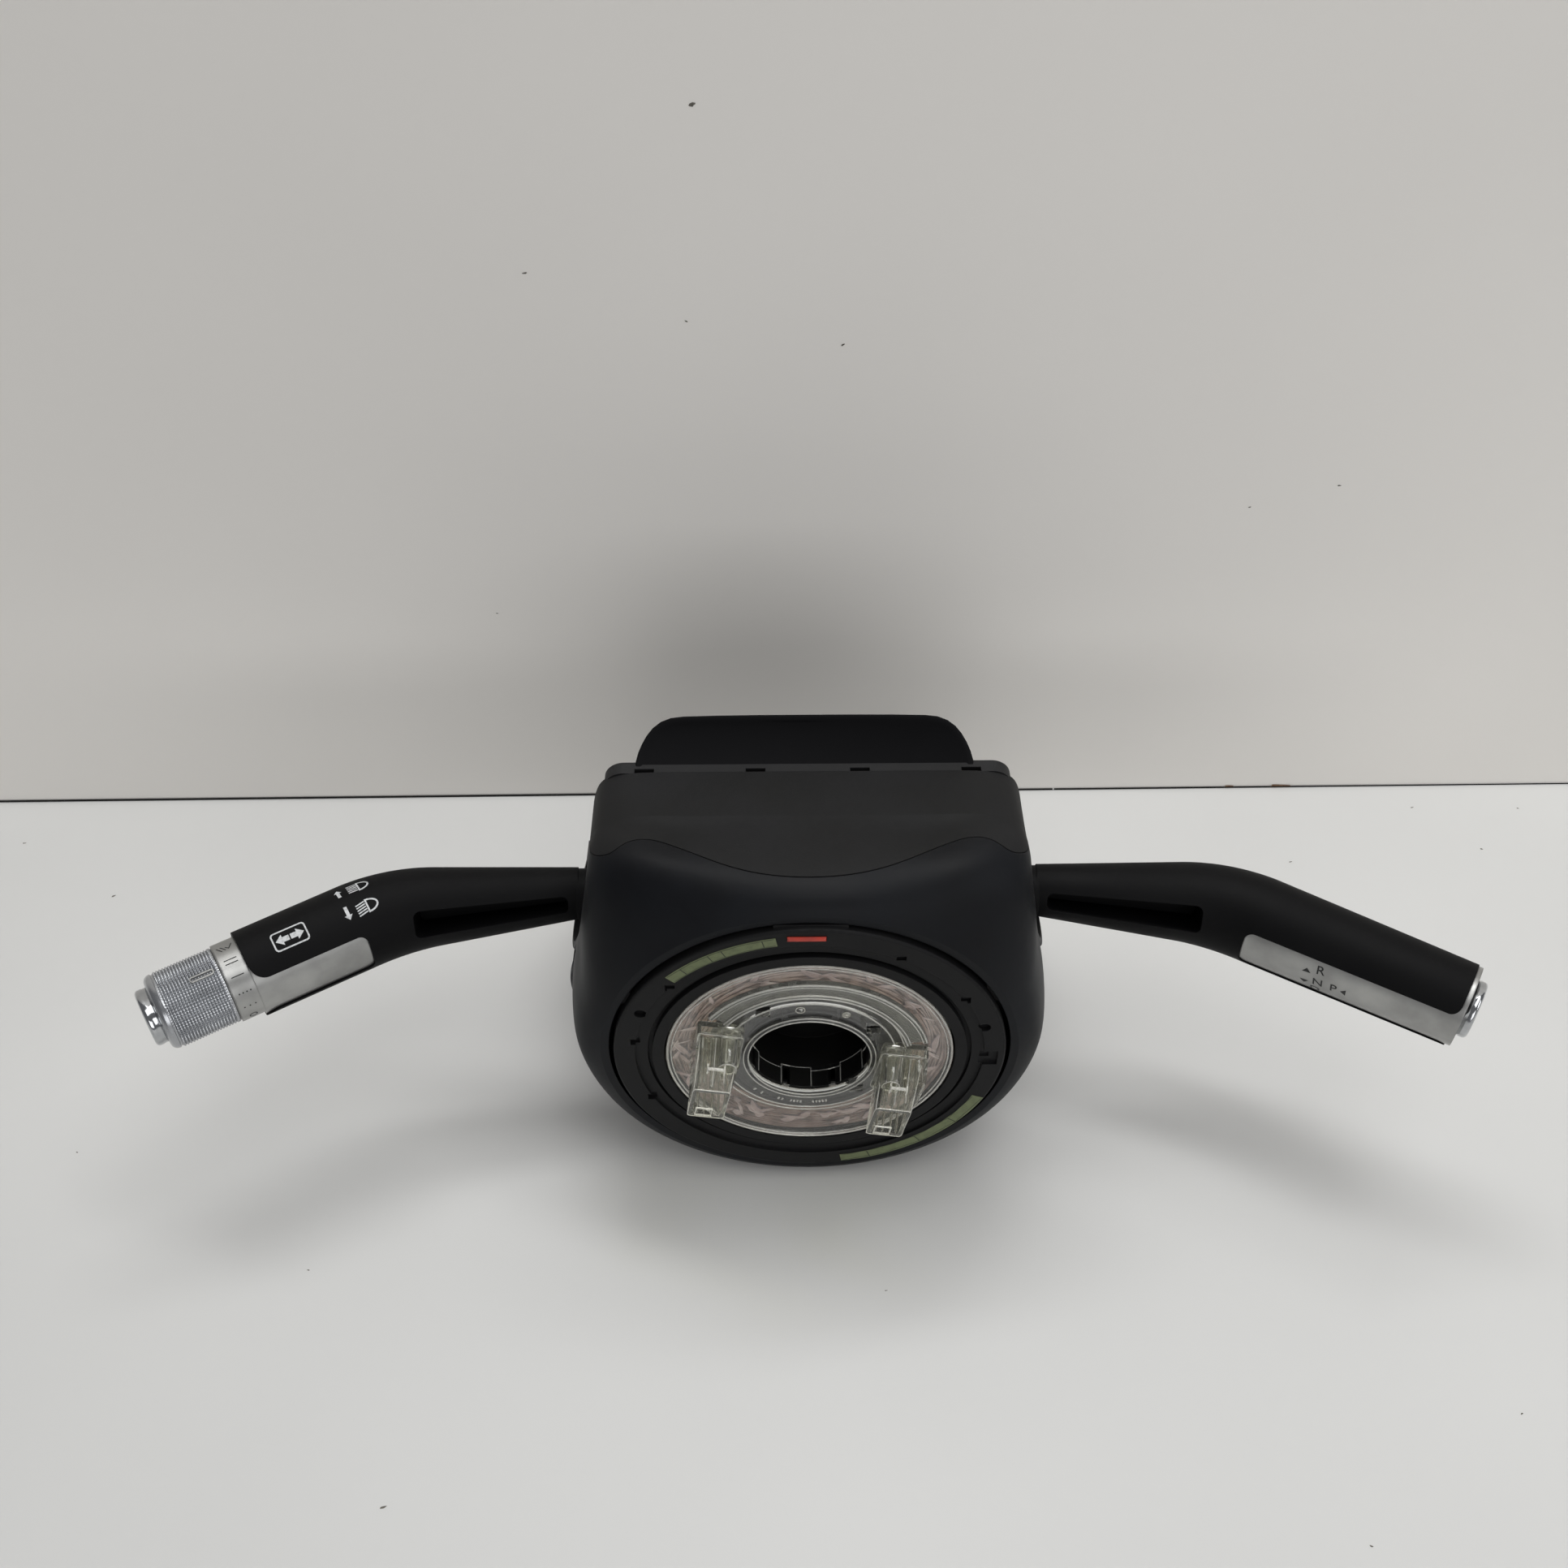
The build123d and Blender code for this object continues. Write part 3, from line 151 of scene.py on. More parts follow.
class Finish:
    """A surface finish: subclasses say what feeds one Principled shader."""

    name: str
    slot: str

    def look(self, tree: Tree) -> Inputs:
        """Return what feeds the shader; each finish has its own way."""
        raise NotImplementedError

    def surface(self, tree: Tree, shader: bpy.types.Node) -> Socket:
        """Return the socket that the material shows: the shader's own, unless it is mixed."""
        return shader.outputs[0]

    def material(self) -> bpy.types.Material:
        """Build the material once and return it from then on.

        Returns:
            The material.
        """
        known = bpy.data.materials.get(self.name)
        if known is not None:
            return known
        made = bpy.data.materials.new(self.name)
        made.use_nodes = True
        tree = made.node_tree
        tree.nodes.clear()
        shader = add_node(tree, "ShaderNodeBsdfPrincipled", self.look(tree))
        add_node(tree, "ShaderNodeOutputMaterial", {"Surface": self.surface(tree, shader)})
        return made

    @staticmethod
    def pattern(tree: Tree, size: float, detail: float = 2.0,
                stretch: Point3 | None = None) -> Socket:
        """Uneven pattern in the object's own metres.

        Args:
            tree: Node tree that gets the nodes.
            size: Size of one blotch in millimetres.
            detail: Octaves of finer noise on top.
            stretch: Factors on the coordinates, for a pattern that runs one way.

        Returns:
            The pattern's value, which keeps near one half.
        """
        where = add_node(tree, "ShaderNodeTexCoord").outputs["Object"]
        if stretch is not None:
            where = add_node(tree, "ShaderNodeMapping",
                             {"Scale": stretch, "Vector": where}).outputs[0]
        return add_node(tree, "ShaderNodeTexNoise", {
            "Scale": per_mm(size), "Detail": detail, "Vector": where}).outputs[0]

    @staticmethod
    def skin(tree: Tree, patch: Socket, stops: Sequence[tuple[float, str]], gloss: Point2,
             height: Socket, depth: float, strength: float, rounding: float = 0.0) -> Inputs:
        """Build the colour, gloss and relief that every finish has.

        Args:
            tree: Node tree that gets the nodes.
            patch: Pattern that changes the colour and the gloss.
            stops: Positions in that pattern with their sRGB hex colours, lowest first.
            gloss: Roughness where the pattern is low and where it is high.
            height: Pattern of the relief.
            depth: Depth of the relief in millimetres.
            strength: Share of the relief that shows.
            rounding: Radius in millimetres that sharp edges seem to have.

        Returns:
            What feeds the shader's colour, roughness and normal.
        """
        bump: Inputs = {"Height": height, "Distance": depth * MM, "Strength": strength}
        if rounding:
            bump["Normal"] = add_node(tree, "ShaderNodeBevel", {
                "samples": 4, "Radius": rounding * MM}).outputs[0]
        low, high = gloss
        # the pattern hardly leaves 0.3 to 0.7, so that stretch is spread over the whole gloss
        rough = low if low == high else add_node(tree, "ShaderNodeMapRange", {
            "From Min": 0.3, "From Max": 0.7, "To Min": low, "To Max": high,
            "Value": patch}).outputs[0]
        return {
            "Base Color": add_node(tree, "ShaderNodeValToRGB",
                                   {"stops": stops, "Fac": patch}).outputs[0],
            "Roughness": rough,
            "Normal": add_node(tree, "ShaderNodeBump", bump).outputs[0],
        }


@dataclass(frozen=True)
class MouldedPlastic(Finish):
    """Injection moulded ABS or nylon with a spark-eroded grain.

    The grain breaks up the highlight into a soft sheen; broad blotches of a second tone and
    of gloss are the handling marks and the flow of the moulding. The real grain is near 0.1 mm
    and is drawn three to eight times as coarse, so that it shows.
    """

    name: str
    slot: str
    colour: str
    tone: str
    roughness: float = 0.5
    grain: float = 0.45
    depth: float = 0.02
    blotch: float = 28.0
    rounding: float = 0.35
    level: float = 0.5

    def look(self, tree: Tree) -> Inputs:
        """Return what feeds the shader of a moulded plastic.

        Args:
            tree: Node tree of the material.

        Returns:
            Values and sockets by the shader's input names.
        """
        patch = self.pattern(tree, self.blotch, 4.0)
        grain = self.pattern(tree, self.grain)
        return self.skin(tree, patch, ((0.36, self.colour), (0.66, self.tone)),
                         (self.roughness - 0.05, self.roughness + 0.06),
                         grain, self.depth, 0.6, self.rounding) | {
            "IOR": 1.53, "Specular IOR Level": self.level}


@dataclass(frozen=True)
class SatinSilver(Finish):
    """Satin silver lacquer over a moulding: aluminium flakes under a thin clear coat.

    The flakes give a soft metal highlight with a faint sparkle; scuffs from fingers and rings
    turn it duller and paler in patches. Real flakes are some hundredths of a millimetre and
    are drawn at 0.3, so that they show.
    """

    name: str
    slot: str
    colour: str = "#a6a6a4"
    worn: str = "#939391"
    bright: str = "#b6b6b3"
    roughness: float = 0.34
    metallic: float = 0.88
    flake: float = 0.3
    scuff: float = 14.0
    depth: float = 0.012
    rounding: float = 0.55

    def look(self, tree: Tree) -> Inputs:
        """Return what feeds the shader of the silver lacquer.

        Args:
            tree: Node tree of the material.

        Returns:
            Values and sockets by the shader's input names.
        """
        flakes = self.pattern(tree, self.flake, 1.0)
        scuffs = self.pattern(tree, self.scuff, 5.0)
        stops = ((0.30, self.worn), (0.50, self.colour), (0.72, self.bright))
        return self.skin(tree, scuffs, stops, (self.roughness + 0.05, self.roughness - 0.02),
                         flakes, self.depth, 0.5, self.rounding) | {"Metallic": self.metallic}


@dataclass(frozen=True)
class ClearMoulding(Finish):
    """Natural polycarbonate, moulded clear and slightly yellow.

    Nearly all light goes through; the little that scatters makes thick walls milky, and flow
    marks in the surface bend the highlights. The index is under polycarbonate's own 1.58,
    which bends less light in the many thin walls and keeps what lies under them in sight.
    """

    name: str
    slot: str
    colour: str = "#f4f0da"
    haze: float = 0.12
    roughness: float = 0.08
    wave: float = 3.0
    depth: float = 0.06

    def look(self, tree: Tree) -> Inputs:
        """Return what feeds the shader of the clear plastic.

        Args:
            tree: Node tree of the material.

        Returns:
            Values and sockets by the shader's input names.
        """
        flow = self.pattern(tree, self.wave, 3.0)
        return self.skin(tree, flow, ((0.35, self.colour), (0.7, "#fdfdfa")),
                         (self.roughness * 0.6, self.roughness * 1.5),
                         flow, self.depth, 0.5, 0.3) | {
            "IOR": 1.45, "Transmission Weight": 1.0 - self.haze}

    def surface(self, tree: Tree, shader: bpy.types.Node) -> Socket:
        """Let lamps reach what lies under a clear wall, as they do through the real one.

        Args:
            tree: Node tree of the material.
            shader: The material's Principled shader.

        Returns:
            Socket that the material shows.
        """
        shadow = add_node(tree, "ShaderNodeLightPath").outputs["Is Shadow Ray"]
        through = add_node(tree, "ShaderNodeBsdfTransparent", {"Color": linear(self.colour)})
        return add_node(tree, "ShaderNodeMixShader", {
            0: shadow, 1: shader.outputs[0], 2: through.outputs[0]}).outputs[0]


@dataclass(frozen=True)
class CableFilm(Finish):
    """Flat cable: rolled copper strips laminated between two polyester films.

    Copper shows through the film as a dull mauve brown; where the film buckles it catches the
    light in short pale crescents, which are painted highlights in a pale copy of this finish.
    """

    name: str
    slot: str
    colour: str = "#8a766e"
    dark: str = "#61514b"
    pale: str = "#9a8880"

    def look(self, tree: Tree) -> Inputs:
        """Return what feeds the shader of the flat cable.

        Args:
            tree: Node tree of the material.

        Returns:
            Values and sockets by the shader's input names.
        """
        crease = self.pattern(tree, 5.0, 4.0)
        stops = ((0.34, self.dark), (0.5, self.colour), (0.68, self.pale))
        return self.skin(tree, crease, stops, (0.28, 0.28), crease, 0.5, 0.8) | {
            "Coat Weight": 0.5}


@dataclass(frozen=True)
class BareMetal(Finish):
    """Cut or stamped metal left bright: zinc plated steel, tinned brass or chrome.

    The plating takes the shine of what is round it; a fine directional grain from rolling or
    turning spreads the highlight. The grain is drawn coarser than a real one, so that it shows.
    """

    name: str
    slot: str
    colour: str
    tone: str
    roughness: float
    grain: float

    def look(self, tree: Tree) -> Inputs:
        """Return what feeds the shader of the bare metal.

        Args:
            tree: Node tree of the material.

        Returns:
            Values and sockets by the shader's input names.
        """
        lines = self.pattern(tree, self.grain, 2.0, (1.0, 0.15, 1.0))
        patch = self.pattern(tree, 6.0, 3.0)
        return self.skin(tree, patch, ((0.35, self.tone), (0.65, self.colour)),
                         (self.roughness + 0.08, self.roughness - 0.05),
                         lines, 0.008, 0.4, 0.2) | {"Metallic": 1.0}


@dataclass(frozen=True)
class PrintedInk(Finish):
    """Pad printed ink, a paper label, dust, a chipped edge or painted shade: matt, slightly uneven
    in its cover.

    It shows as a flat tone that is a little thinner in places, with no highlight of its own.
    """

    name: str
    slot: str
    colour: str
    thin: str
    roughness: float
    patch: float = 0.8

    def look(self, tree: Tree) -> Inputs:
        """Return what feeds the shader of the printed ink.

        Args:
            tree: Node tree of the material.

        Returns:
            Values and sockets by the shader's input names.
        """
        cover = self.pattern(tree, self.patch, 3.0)
        return self.skin(tree, cover, ((0.32, self.thin), (0.55, self.colour)),
                         (self.roughness, self.roughness), cover, 0.01, 0.3)


@dataclass(frozen=True)
class BoardLaminate(Finish):
    """Glass epoxy circuit board under green solder resist.

    Copper tracks lie under the resist as slightly raised, paler lines with gaps between.
    """

    name: str
    slot: str
    resist: str = "#17452f"
    track: str = "#2c6a45"
    cell: float = 5.2

    def look(self, tree: Tree) -> Inputs:
        """Return what feeds the shader of the circuit board.

        Args:
            tree: Node tree of the material.

        Returns:
            Values and sockets by the shader's input names.
        """
        where = add_node(tree, "ShaderNodeTexCoord").outputs["Object"]
        upright = add_node(tree, "ShaderNodeMapping", {
            "Rotation": (math.pi / 2, 0, 0), "Vector": where}).outputs[0]
        tracks = add_node(tree, "ShaderNodeTexBrick", {
            "Scale": per_mm(self.cell), "Mortar Size": 0.03, "Color1": (0, 0, 0, 1),
            "Color2": (0.2, 0.2, 0.2, 1), "Mortar": (1, 1, 1, 1), "Vector": upright}).outputs[0]
        return self.skin(tree, tracks, ((0.1, self.resist), (0.6, self.track)), (0.35, 0.35),
                         tracks, 0.05, 0.6)


@dataclass(frozen=True)
class PaintedBoard(Finish):
    """Matt wall paint or a laminate table top.

    A faint mottle and a fine tooth keep the broad pale surface from looking empty.
    """

    name: str
    slot: str
    colour: str
    tone: str
    patch: float
    roughness: float
    one_sided: bool = False

    def look(self, tree: Tree) -> Inputs:
        """Return what feeds the shader of the painted board.

        Args:
            tree: Node tree of the material.

        Returns:
            Values and sockets by the shader's input names.
        """
        broad = self.pattern(tree, self.patch)
        tooth = self.pattern(tree, 1.6)
        return self.skin(tree, broad, ((0.3, self.colour), (0.7, self.tone)),
                         (self.roughness, self.roughness), tooth, 0.03, 0.25)

    def surface(self, tree: Tree, shader: bpy.types.Node) -> Socket:
        """Leave a one-sided board out from behind, to show the back of the module.

        Args:
            tree: Node tree of the material.
            shader: The material's Principled shader.

        Returns:
            Socket that the material shows.
        """
        if not self.one_sided:
            return shader.outputs[0]
        behind = add_node(tree, "ShaderNodeNewGeometry").outputs["Backfacing"]
        clear = add_node(tree, "ShaderNodeBsdfTransparent").outputs[0]
        return add_node(tree, "ShaderNodeMixShader", {
            0: behind, 1: shader.outputs[0], 2: clear}).outputs[0]


class Finishes:
    """The finishes of this module, named for what they are made of."""

    # coarse grain: a broad dull sheen that never mirrors a lamp
    UPPER = MouldedPlastic("abs_grained_charcoal", "shroud_grained", "#181818", "#1e1e1f",
                           0.66, 0.55, 0.06, level=0.16)
    # fine grain on a cooler black: the round belly takes a soft long highlight
    LOWER = MouldedPlastic("abs_smooth_blue_black", "shroud_smooth", "#0c0d10", "#101216",
                           0.5, 0.35, 0.012, level=0.14)
    # deep matt black that sets off the pale signs
    ARM = MouldedPlastic("abs_stalk_black", "stalk_black", "#080809", "#0c0c0d",
                         0.6, 0.5, 0.03, level=0.1)
    # slippery and nearly plain: a small soft highlight
    SHIELD = MouldedPlastic("acetal_shield_black", "stalk_black", "#0e0e0f", "#131314",
                            0.45, 0.4, 0.01, level=0.2)
    # plain matt black round the clear rotor
    RING = MouldedPlastic("nylon_ring_black", "ring_black", "#0d0d0e", "#131314",
                          0.55, 0.4, 0.02, level=0.16)
    # dull dark grey, with the tone of glass fibre in it
    HOUSING = MouldedPlastic("nylon_housing_black", "housing_black", "#161617", "#1e1e1f",
                             0.58, 0.5, 0.03, level=0.25)
    # soft rubber: the darkest and dullest piece, with hardly a highlight
    COVER = MouldedPlastic("rubber_gap_cover", "cover_black", "#08080a", "#0c0c0e",
                           0.66, 0.8, 0.02, 20.0, 0.4, 0.1)
    # smooth bearing sleeve; the thin bright lines on its corners are painted highlights of their
    # own
    SLEEVE = MouldedPlastic("acetal_sleeve_black", "ring_black", "#0c0c0c", "#121212",
                            0.36, 0.4, 0.01, level=0.25)
    # a shade paler and glossier than the shroud round it
    PLUG = MouldedPlastic("abs_plug_black", "shroud_smooth", "#1a1b1d", "#1f2124",
                          0.45, 0.4, 0.02)
    # even warm red with a slight gloss, the only strong colour
    RED = MouldedPlastic("acetal_red", "index_red", "#b5321f", "#9c2a1a",
                         0.35, 0.5, 0.02, 4.0, 0.2)
    # natural acetal: an even creamy white
    GEAR = MouldedPlastic("acetal_natural_gear", "gear_white", "#d9d6c8", "#cac6b6",
                          0.4, 0.5, 0.01)
    # mid grey nylon that parts the switch cases from the housing
    CASE = MouldedPlastic("nylon_case_grey", "housing_black", "#3a3b3d", "#454648",
                          0.5, 0.5, 0.03)
    # matt black blocks on the green board
    CHIP = MouldedPlastic("epoxy_chip_black", "chip_black", "#141415", "#1c1c1e",
                          0.55, 0.3, 0.01, 3.0)
    # soft grey metal with a broad highlight along each sleeve
    SILVER = SatinSilver("lacquer_satin_silver", "satin_silver")
    # brighter and glossier than the sleeves: each pyramid glints by itself
    KNURL = SatinSilver("lacquer_silver_knurled", "knob_silver", "#b0b2b5", "#a2a4a7",
                        "#bcbec1", 0.24, 0.94, depth=0.002, rounding=0.06)
    # almost unseen but for its edges and highlights
    CLEAR = ClearMoulding("polycarbonate_clear", "clear_plastic", "#fdfdfb", 0.02, 0.04)
    # the same clear plastic in the towers' upright walls
    CLEAR_THICK = ClearMoulding("polycarbonate_clear_yellow", "clear_plastic", "#fdfdf7",
                                0.02, 0.05)
    # painted highlight: a milkier, paler clear plastic for thin beads and edges, standing for the
    # light that cut and moulded edges gather
    EDGE_HIGHLIGHT = ClearMoulding("polycarbonate_painted_edge_highlight", "clear_plastic", "#f4f3ee", 0.24, 0.1)
    # dull mauve brown turns under the clear disc
    FILM = CableFilm("flat_cable_film", "ribbon_brown")
    # painted highlight: thin pale crescents where the folds catch the light
    FILM_HIGHLIGHT = CableFilm("flat_cable_film_fold_highlight", "ribbon_brown",
                          "#b8a9a5", "#9f908c", "#cdc2bf")
    # buckled film between the turns, a little paler than they are
    FILM_MID = CableFilm("flat_cable_film_buckled", "ribbon_brown",
                         "#937f7a", "#7b6a66", "#a59590")
    # painted shade: dark slits where one loop shades the next
    FILM_DARK = CableFilm("flat_cable_film_shaded", "ribbon_brown",
                          "#64545a", "#453a3c", "#7f7070")
    # thin mirror-bright rings round the end buttons
    POLISHED = BareMetal("chrome_polished_rim", "satin_silver", "#c6c8ca", "#b2b4b6", 0.1, 0.5)
    # dished mirror whose colour is darkened as a painted reflection of the dark side of the room
    CHROME_PAINTED_DARK = BareMetal("chrome_dished_insert_painted_dark", "insert_chrome", "#a9abae", "#64666a",
                            0.1, 0.5)
    # plain bright inserts of the solids, which the dished ones stand for
    CHROME = BareMetal("chrome_insert", "insert_chrome", "#d3d5d8", "#9a9ca0", 0.12, 0.3)
    # cool grey steel with a soft shine
    ZINC = BareMetal("steel_zinc_plated", "steel", "#b7b9b6", "#8e918c", 0.3, 0.3)
    # warm pale metal pins that glint down in the towers
    PINS = BareMetal("brass_tinned", "steel", "#c9c6bb", "#a5a297", 0.25, 0.3)
    # dull green with paler tracks
    BOARD = BoardLaminate("board_green_resist", "board_green")
    # painted shade: darker grey in the bottom of the pointer's slot
    GROOVE = PrintedInk("groove_painted_shade", "satin_silver", "#505154", "#434447", 0.5)
    # flat olive field
    LABEL = PrintedInk("label_olive", "ring_black", "#666f4c", "#596142", 0.55, 2.5)
    # thin dark rules on the olive field
    LABEL_MARK = PrintedInk("label_mark_dark", "ring_black", "#23271a", "#2f3424", 0.6)
    # pale grey signs that read well on black
    PRINT_PALE = PrintedInk("ink_pale_grey", "stalk_black", "#c6c8c9", "#a5a7a8", 0.5)
    # nearly black signs that read well on silver
    PRINT_DARK = PrintedInk("ink_dark_grey", "satin_silver", "#161617", "#262627", 0.5)
    # warm pale wall, left out from behind
    WALL = PaintedBoard("paint_wall_pale", "stage", "#e9e6e1", "#eeebe6", 220.0, 0.8, True)
    # cool pale table top with a faint gloss
    TABLE = PaintedBoard("laminate_table_white", "stage", "#cfcfcd", "#d5d5d3", 180.0, 0.5)
    # painted shade: thin dark line in the corner between table and wall
    SEAM_SHADE = PrintedInk("painted_shade_in_seam", "stage", "#0e0d0c", "#1c1a18", 0.9, 3.0)
    # brown core that shows where the wall's edge is chipped
    CHIP_BROWN = PrintedInk("chipped_edge_brown", "stage", "#6a4a30", "#8a6f52", 0.8, 1.0)
    # small grey brown specks of dust
    SPECK = PrintedInk("dust_speck", "stage", "#6b675f", "#4a4741", 0.8, 0.6)


# ------------------------------------------------------------------ mesh helpers
def add_object(name: str, work: Mesh, finish: Finish) -> Piece:
    """Turn finished mesh work into an object.

    Args:
        name: Name of the piece.
        work: Its mesh, which is freed.
        finish: Finish of the whole piece.

    Returns:
        The object, not yet on a body.
    """
    data = bpy.data.meshes.new(name)
    work.to_mesh(data)
    work.free()
    data.materials.append(finish.material())
    made = bpy.data.objects.new(name, data)
    bpy.context.scene.collection.objects.link(made)
    return made


def mesh_object(name: str, build: Fill, finish: Finish, smooth: bool = True) -> Piece:
    """Make an object from mesh code and dress it.

    Args:
        name: Name of the piece.
        build: Fills an empty mesh, in metres in the row frame.
        finish: Finish of the whole piece.
        smooth: Shade the faces smooth, apart from sharp edges.

    Returns:
        The object, not yet on a body.
    """
    work = bmesh.new()
    build(work)
    bmesh.ops.recalc_face_normals(work, faces=work.faces)
    made = add_object(name, work, finish)
    if smooth:
        made.data.shade_smooth()
        made.data.set_sharp_from_angle(angle=math.radians(SHARP_ANGLE))
    return made


def settle(piece: Piece, body: str, finish: Finish, *nodes: str) -> Piece:
    """Put a piece on its body and hide the nodes that it stands for.

    Args:
        piece: The piece, in place.
        body: Body that carries it.
        finish: Not used.
        nodes: CAD nodes that it stands for.

    Returns:
        The same piece.
    """
    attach(piece, body)
    if nodes:
        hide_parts(*nodes)
    LOG.info("%s rides on %s%s", piece.name, body, " for " + ", ".join(nodes) if nodes else "")
    return piece


def add_piece(name: str, build: Fill, finish: Finish, body: str, *nodes: str) -> None:
    """Make a piece from mesh code and settle it on its body.

    Args:
        name: Name of the piece.
        build: Fills an empty mesh, in metres in the row frame.
        finish: Finish of the whole piece.
        body: Body that carries it.
        nodes: CAD nodes that it stands for.
    """
    settle(mesh_object(name, build, finish), body, finish, *nodes)


def polar(radius: float, angle: float, x: float = 0.0, y: float = 0.0) -> Point2:
    """Point at a radius and an angle in degrees from a centre."""
    a = math.radians(angle)
    return x + radius * math.cos(a), y + radius * math.sin(a)


def arc(radius: float, angles: Iterable[float], x: float = 0.0, y: float = 0.0) -> Outline:
    """Points at a radius and a row of angles in degrees from a centre."""
    return [polar(radius, angle, x, y) for angle in angles]


def slab(low_u: float, high_u: float, low_v: float, high_v: float, corner: float) -> Outline:
    """Outline of a rectangle with round corners.

    Args:
        low_u: Left side.
        high_u: Right side.
        low_v: Lower side.
        high_v: Upper side.
        corner: Corner radius.

    Returns:
        The outline's points, anticlockwise.
    """
    points = []
    left, right, bottom, top = low_u + corner, high_u - corner, low_v + corner, high_v - corner
    for u, v, first in ((right, top, 0), (left, top, 90), (left, bottom, 180),
                        (right, bottom, 270)):
        points += arc(corner, (first + t for t in (0, 30, 60, 90)), u, v)
    return points


def spread(work: Mesh, points: Iterable[Vector]) -> Corners:
    """Add points given in millimetres and return their vertices."""
    return [work.verts.new(point * MM) for point in points]


def bridge(work: Mesh, rows: Sequence[Corners], around: bool = True, closed: bool = False) -> None:
    """Join rows of vertices with faces of four corners.

    Args:
        work: Mesh that gets the faces.
        rows: Rows of vertices, all of one length.
        around: Join each row's end to its start.
        closed: Join the last row to the first.
    """
    count = len(rows[0])
    pairs = list(zip(rows, rows[1:])) + ([(rows[-1], rows[0])] if closed else [])
    for here, there in pairs:
        for i in range(count if around else count - 1):
            j = (i + 1) % count
            work.faces.new((here[i], here[j], there[j], there[i]))


def add_prism(work: Mesh, outline: Sequence[Point2], low: float, high: float,
              place: Matrix) -> None:
    """Add a prism on a flat outline.

    Args:
        work: Mesh that gets the prism.
        outline: Corners in the local plane, in millimetres.
        low: Height of its first end along the local Z.
        high: Height of its other end.
        place: Local frame in the row frame, in millimetres.
    """
    ends = [spread(work, [place @ Vector((x, y, level)) for x, y in outline])
            for level in (low, high)]
    work.faces.new(list(reversed(ends[0])))
    work.faces.new(ends[1])
    bridge(work, ends)


def add_box(work: Mesh, low: Point3, high: Point3, place: Matrix) -> None:
    """Add a box between two local corners, in millimetres."""
    outline = [(low[0], low[1]), (high[0], low[1]), (high[0], high[1]), (low[0], high[1])]
    add_prism(work, outline, low[2], high[2], place)


def add_lathe(work: Mesh, profile: Sequence[Point2], place: Matrix, segments: int,
              closed: bool = False, shape: Callable[[float, float], float] | None = None) -> None:
    """Add a turned surface about the local Z.

    Args:
        work: Mesh that gets the surface.
        profile: Distance along the axis and radius, in millimetres, in order.
        place: Local frame in the row frame, in millimetres.
        segments: Steps round the axis.
        closed: Join the profile's end to its start.
        shape: Extra radius in millimetres from distance along the axis and angle.
    """
    rings = []
    for along, radius in profile:
        ring = []
        for step in range(segments):
            angle = 2 * math.pi * step / segments
            reach = radius + (shape(along, angle) if shape else 0.0)
            ring.append(place @ Vector((reach * math.cos(angle), reach * math.sin(angle), along)))
        rings.append(spread(work, ring))
    bridge(work, rings, closed=closed)
    if closed:
        return
    for ring, (_, radius) in ((rings[0], profile[0]), (rings[-1], profile[-1])):
        if radius <= 0.2:  # an end on the axis shrinks to one point
            middle = ring[0].co.lerp(ring[segments // 2].co, 0.5)
            bmesh.ops.pointmerge(work, verts=ring, merge_co=middle)


def add_sector(work: Mesh, radii: Point2, depths: Point2, place: Matrix,
               step: float = 3.0) -> None:
    """Add a flat ring with a thickness.

    Args:
        work: Mesh that gets the ring.
        radii: Inner and outer radius in millimetres.
        depths: The two levels along the local Z.
        place: Local frame in the row frame, in millimetres.
        step: Longest turn of one facet in degrees.
    """
    (inner, outer), (low, high) = radii, depths
    count = int(360 / step) + 1
    loops = []
    for i in range(count):
        turn = 360 * i / count
        corners = ((inner, low), (outer, low), (outer, high), (inner, high))
        loops.append(spread(work, [place @ Vector((*polar(r, turn), z)) for r, z in corners]))
    bridge(work, loops, closed=True)


def face_frame(depth: float, turn: float = 0.0) -> Matrix:
    """Local frame on the steering axis that faces the driver.

    Args:
        depth: Distance behind the front face in millimetres.
        turn: Turn about the steering axis in degrees.

    Returns:
        Frame whose X and Y lie across the axis and whose Z points to the driver.
    """
    a = math.radians(turn)
    return Matrix(((math.cos(a), -math.sin(a), 0, 0), (0, 0, -1, depth),
                   (math.sin(a), math.cos(a), 0, 0), (0, 0, 0, 1)))


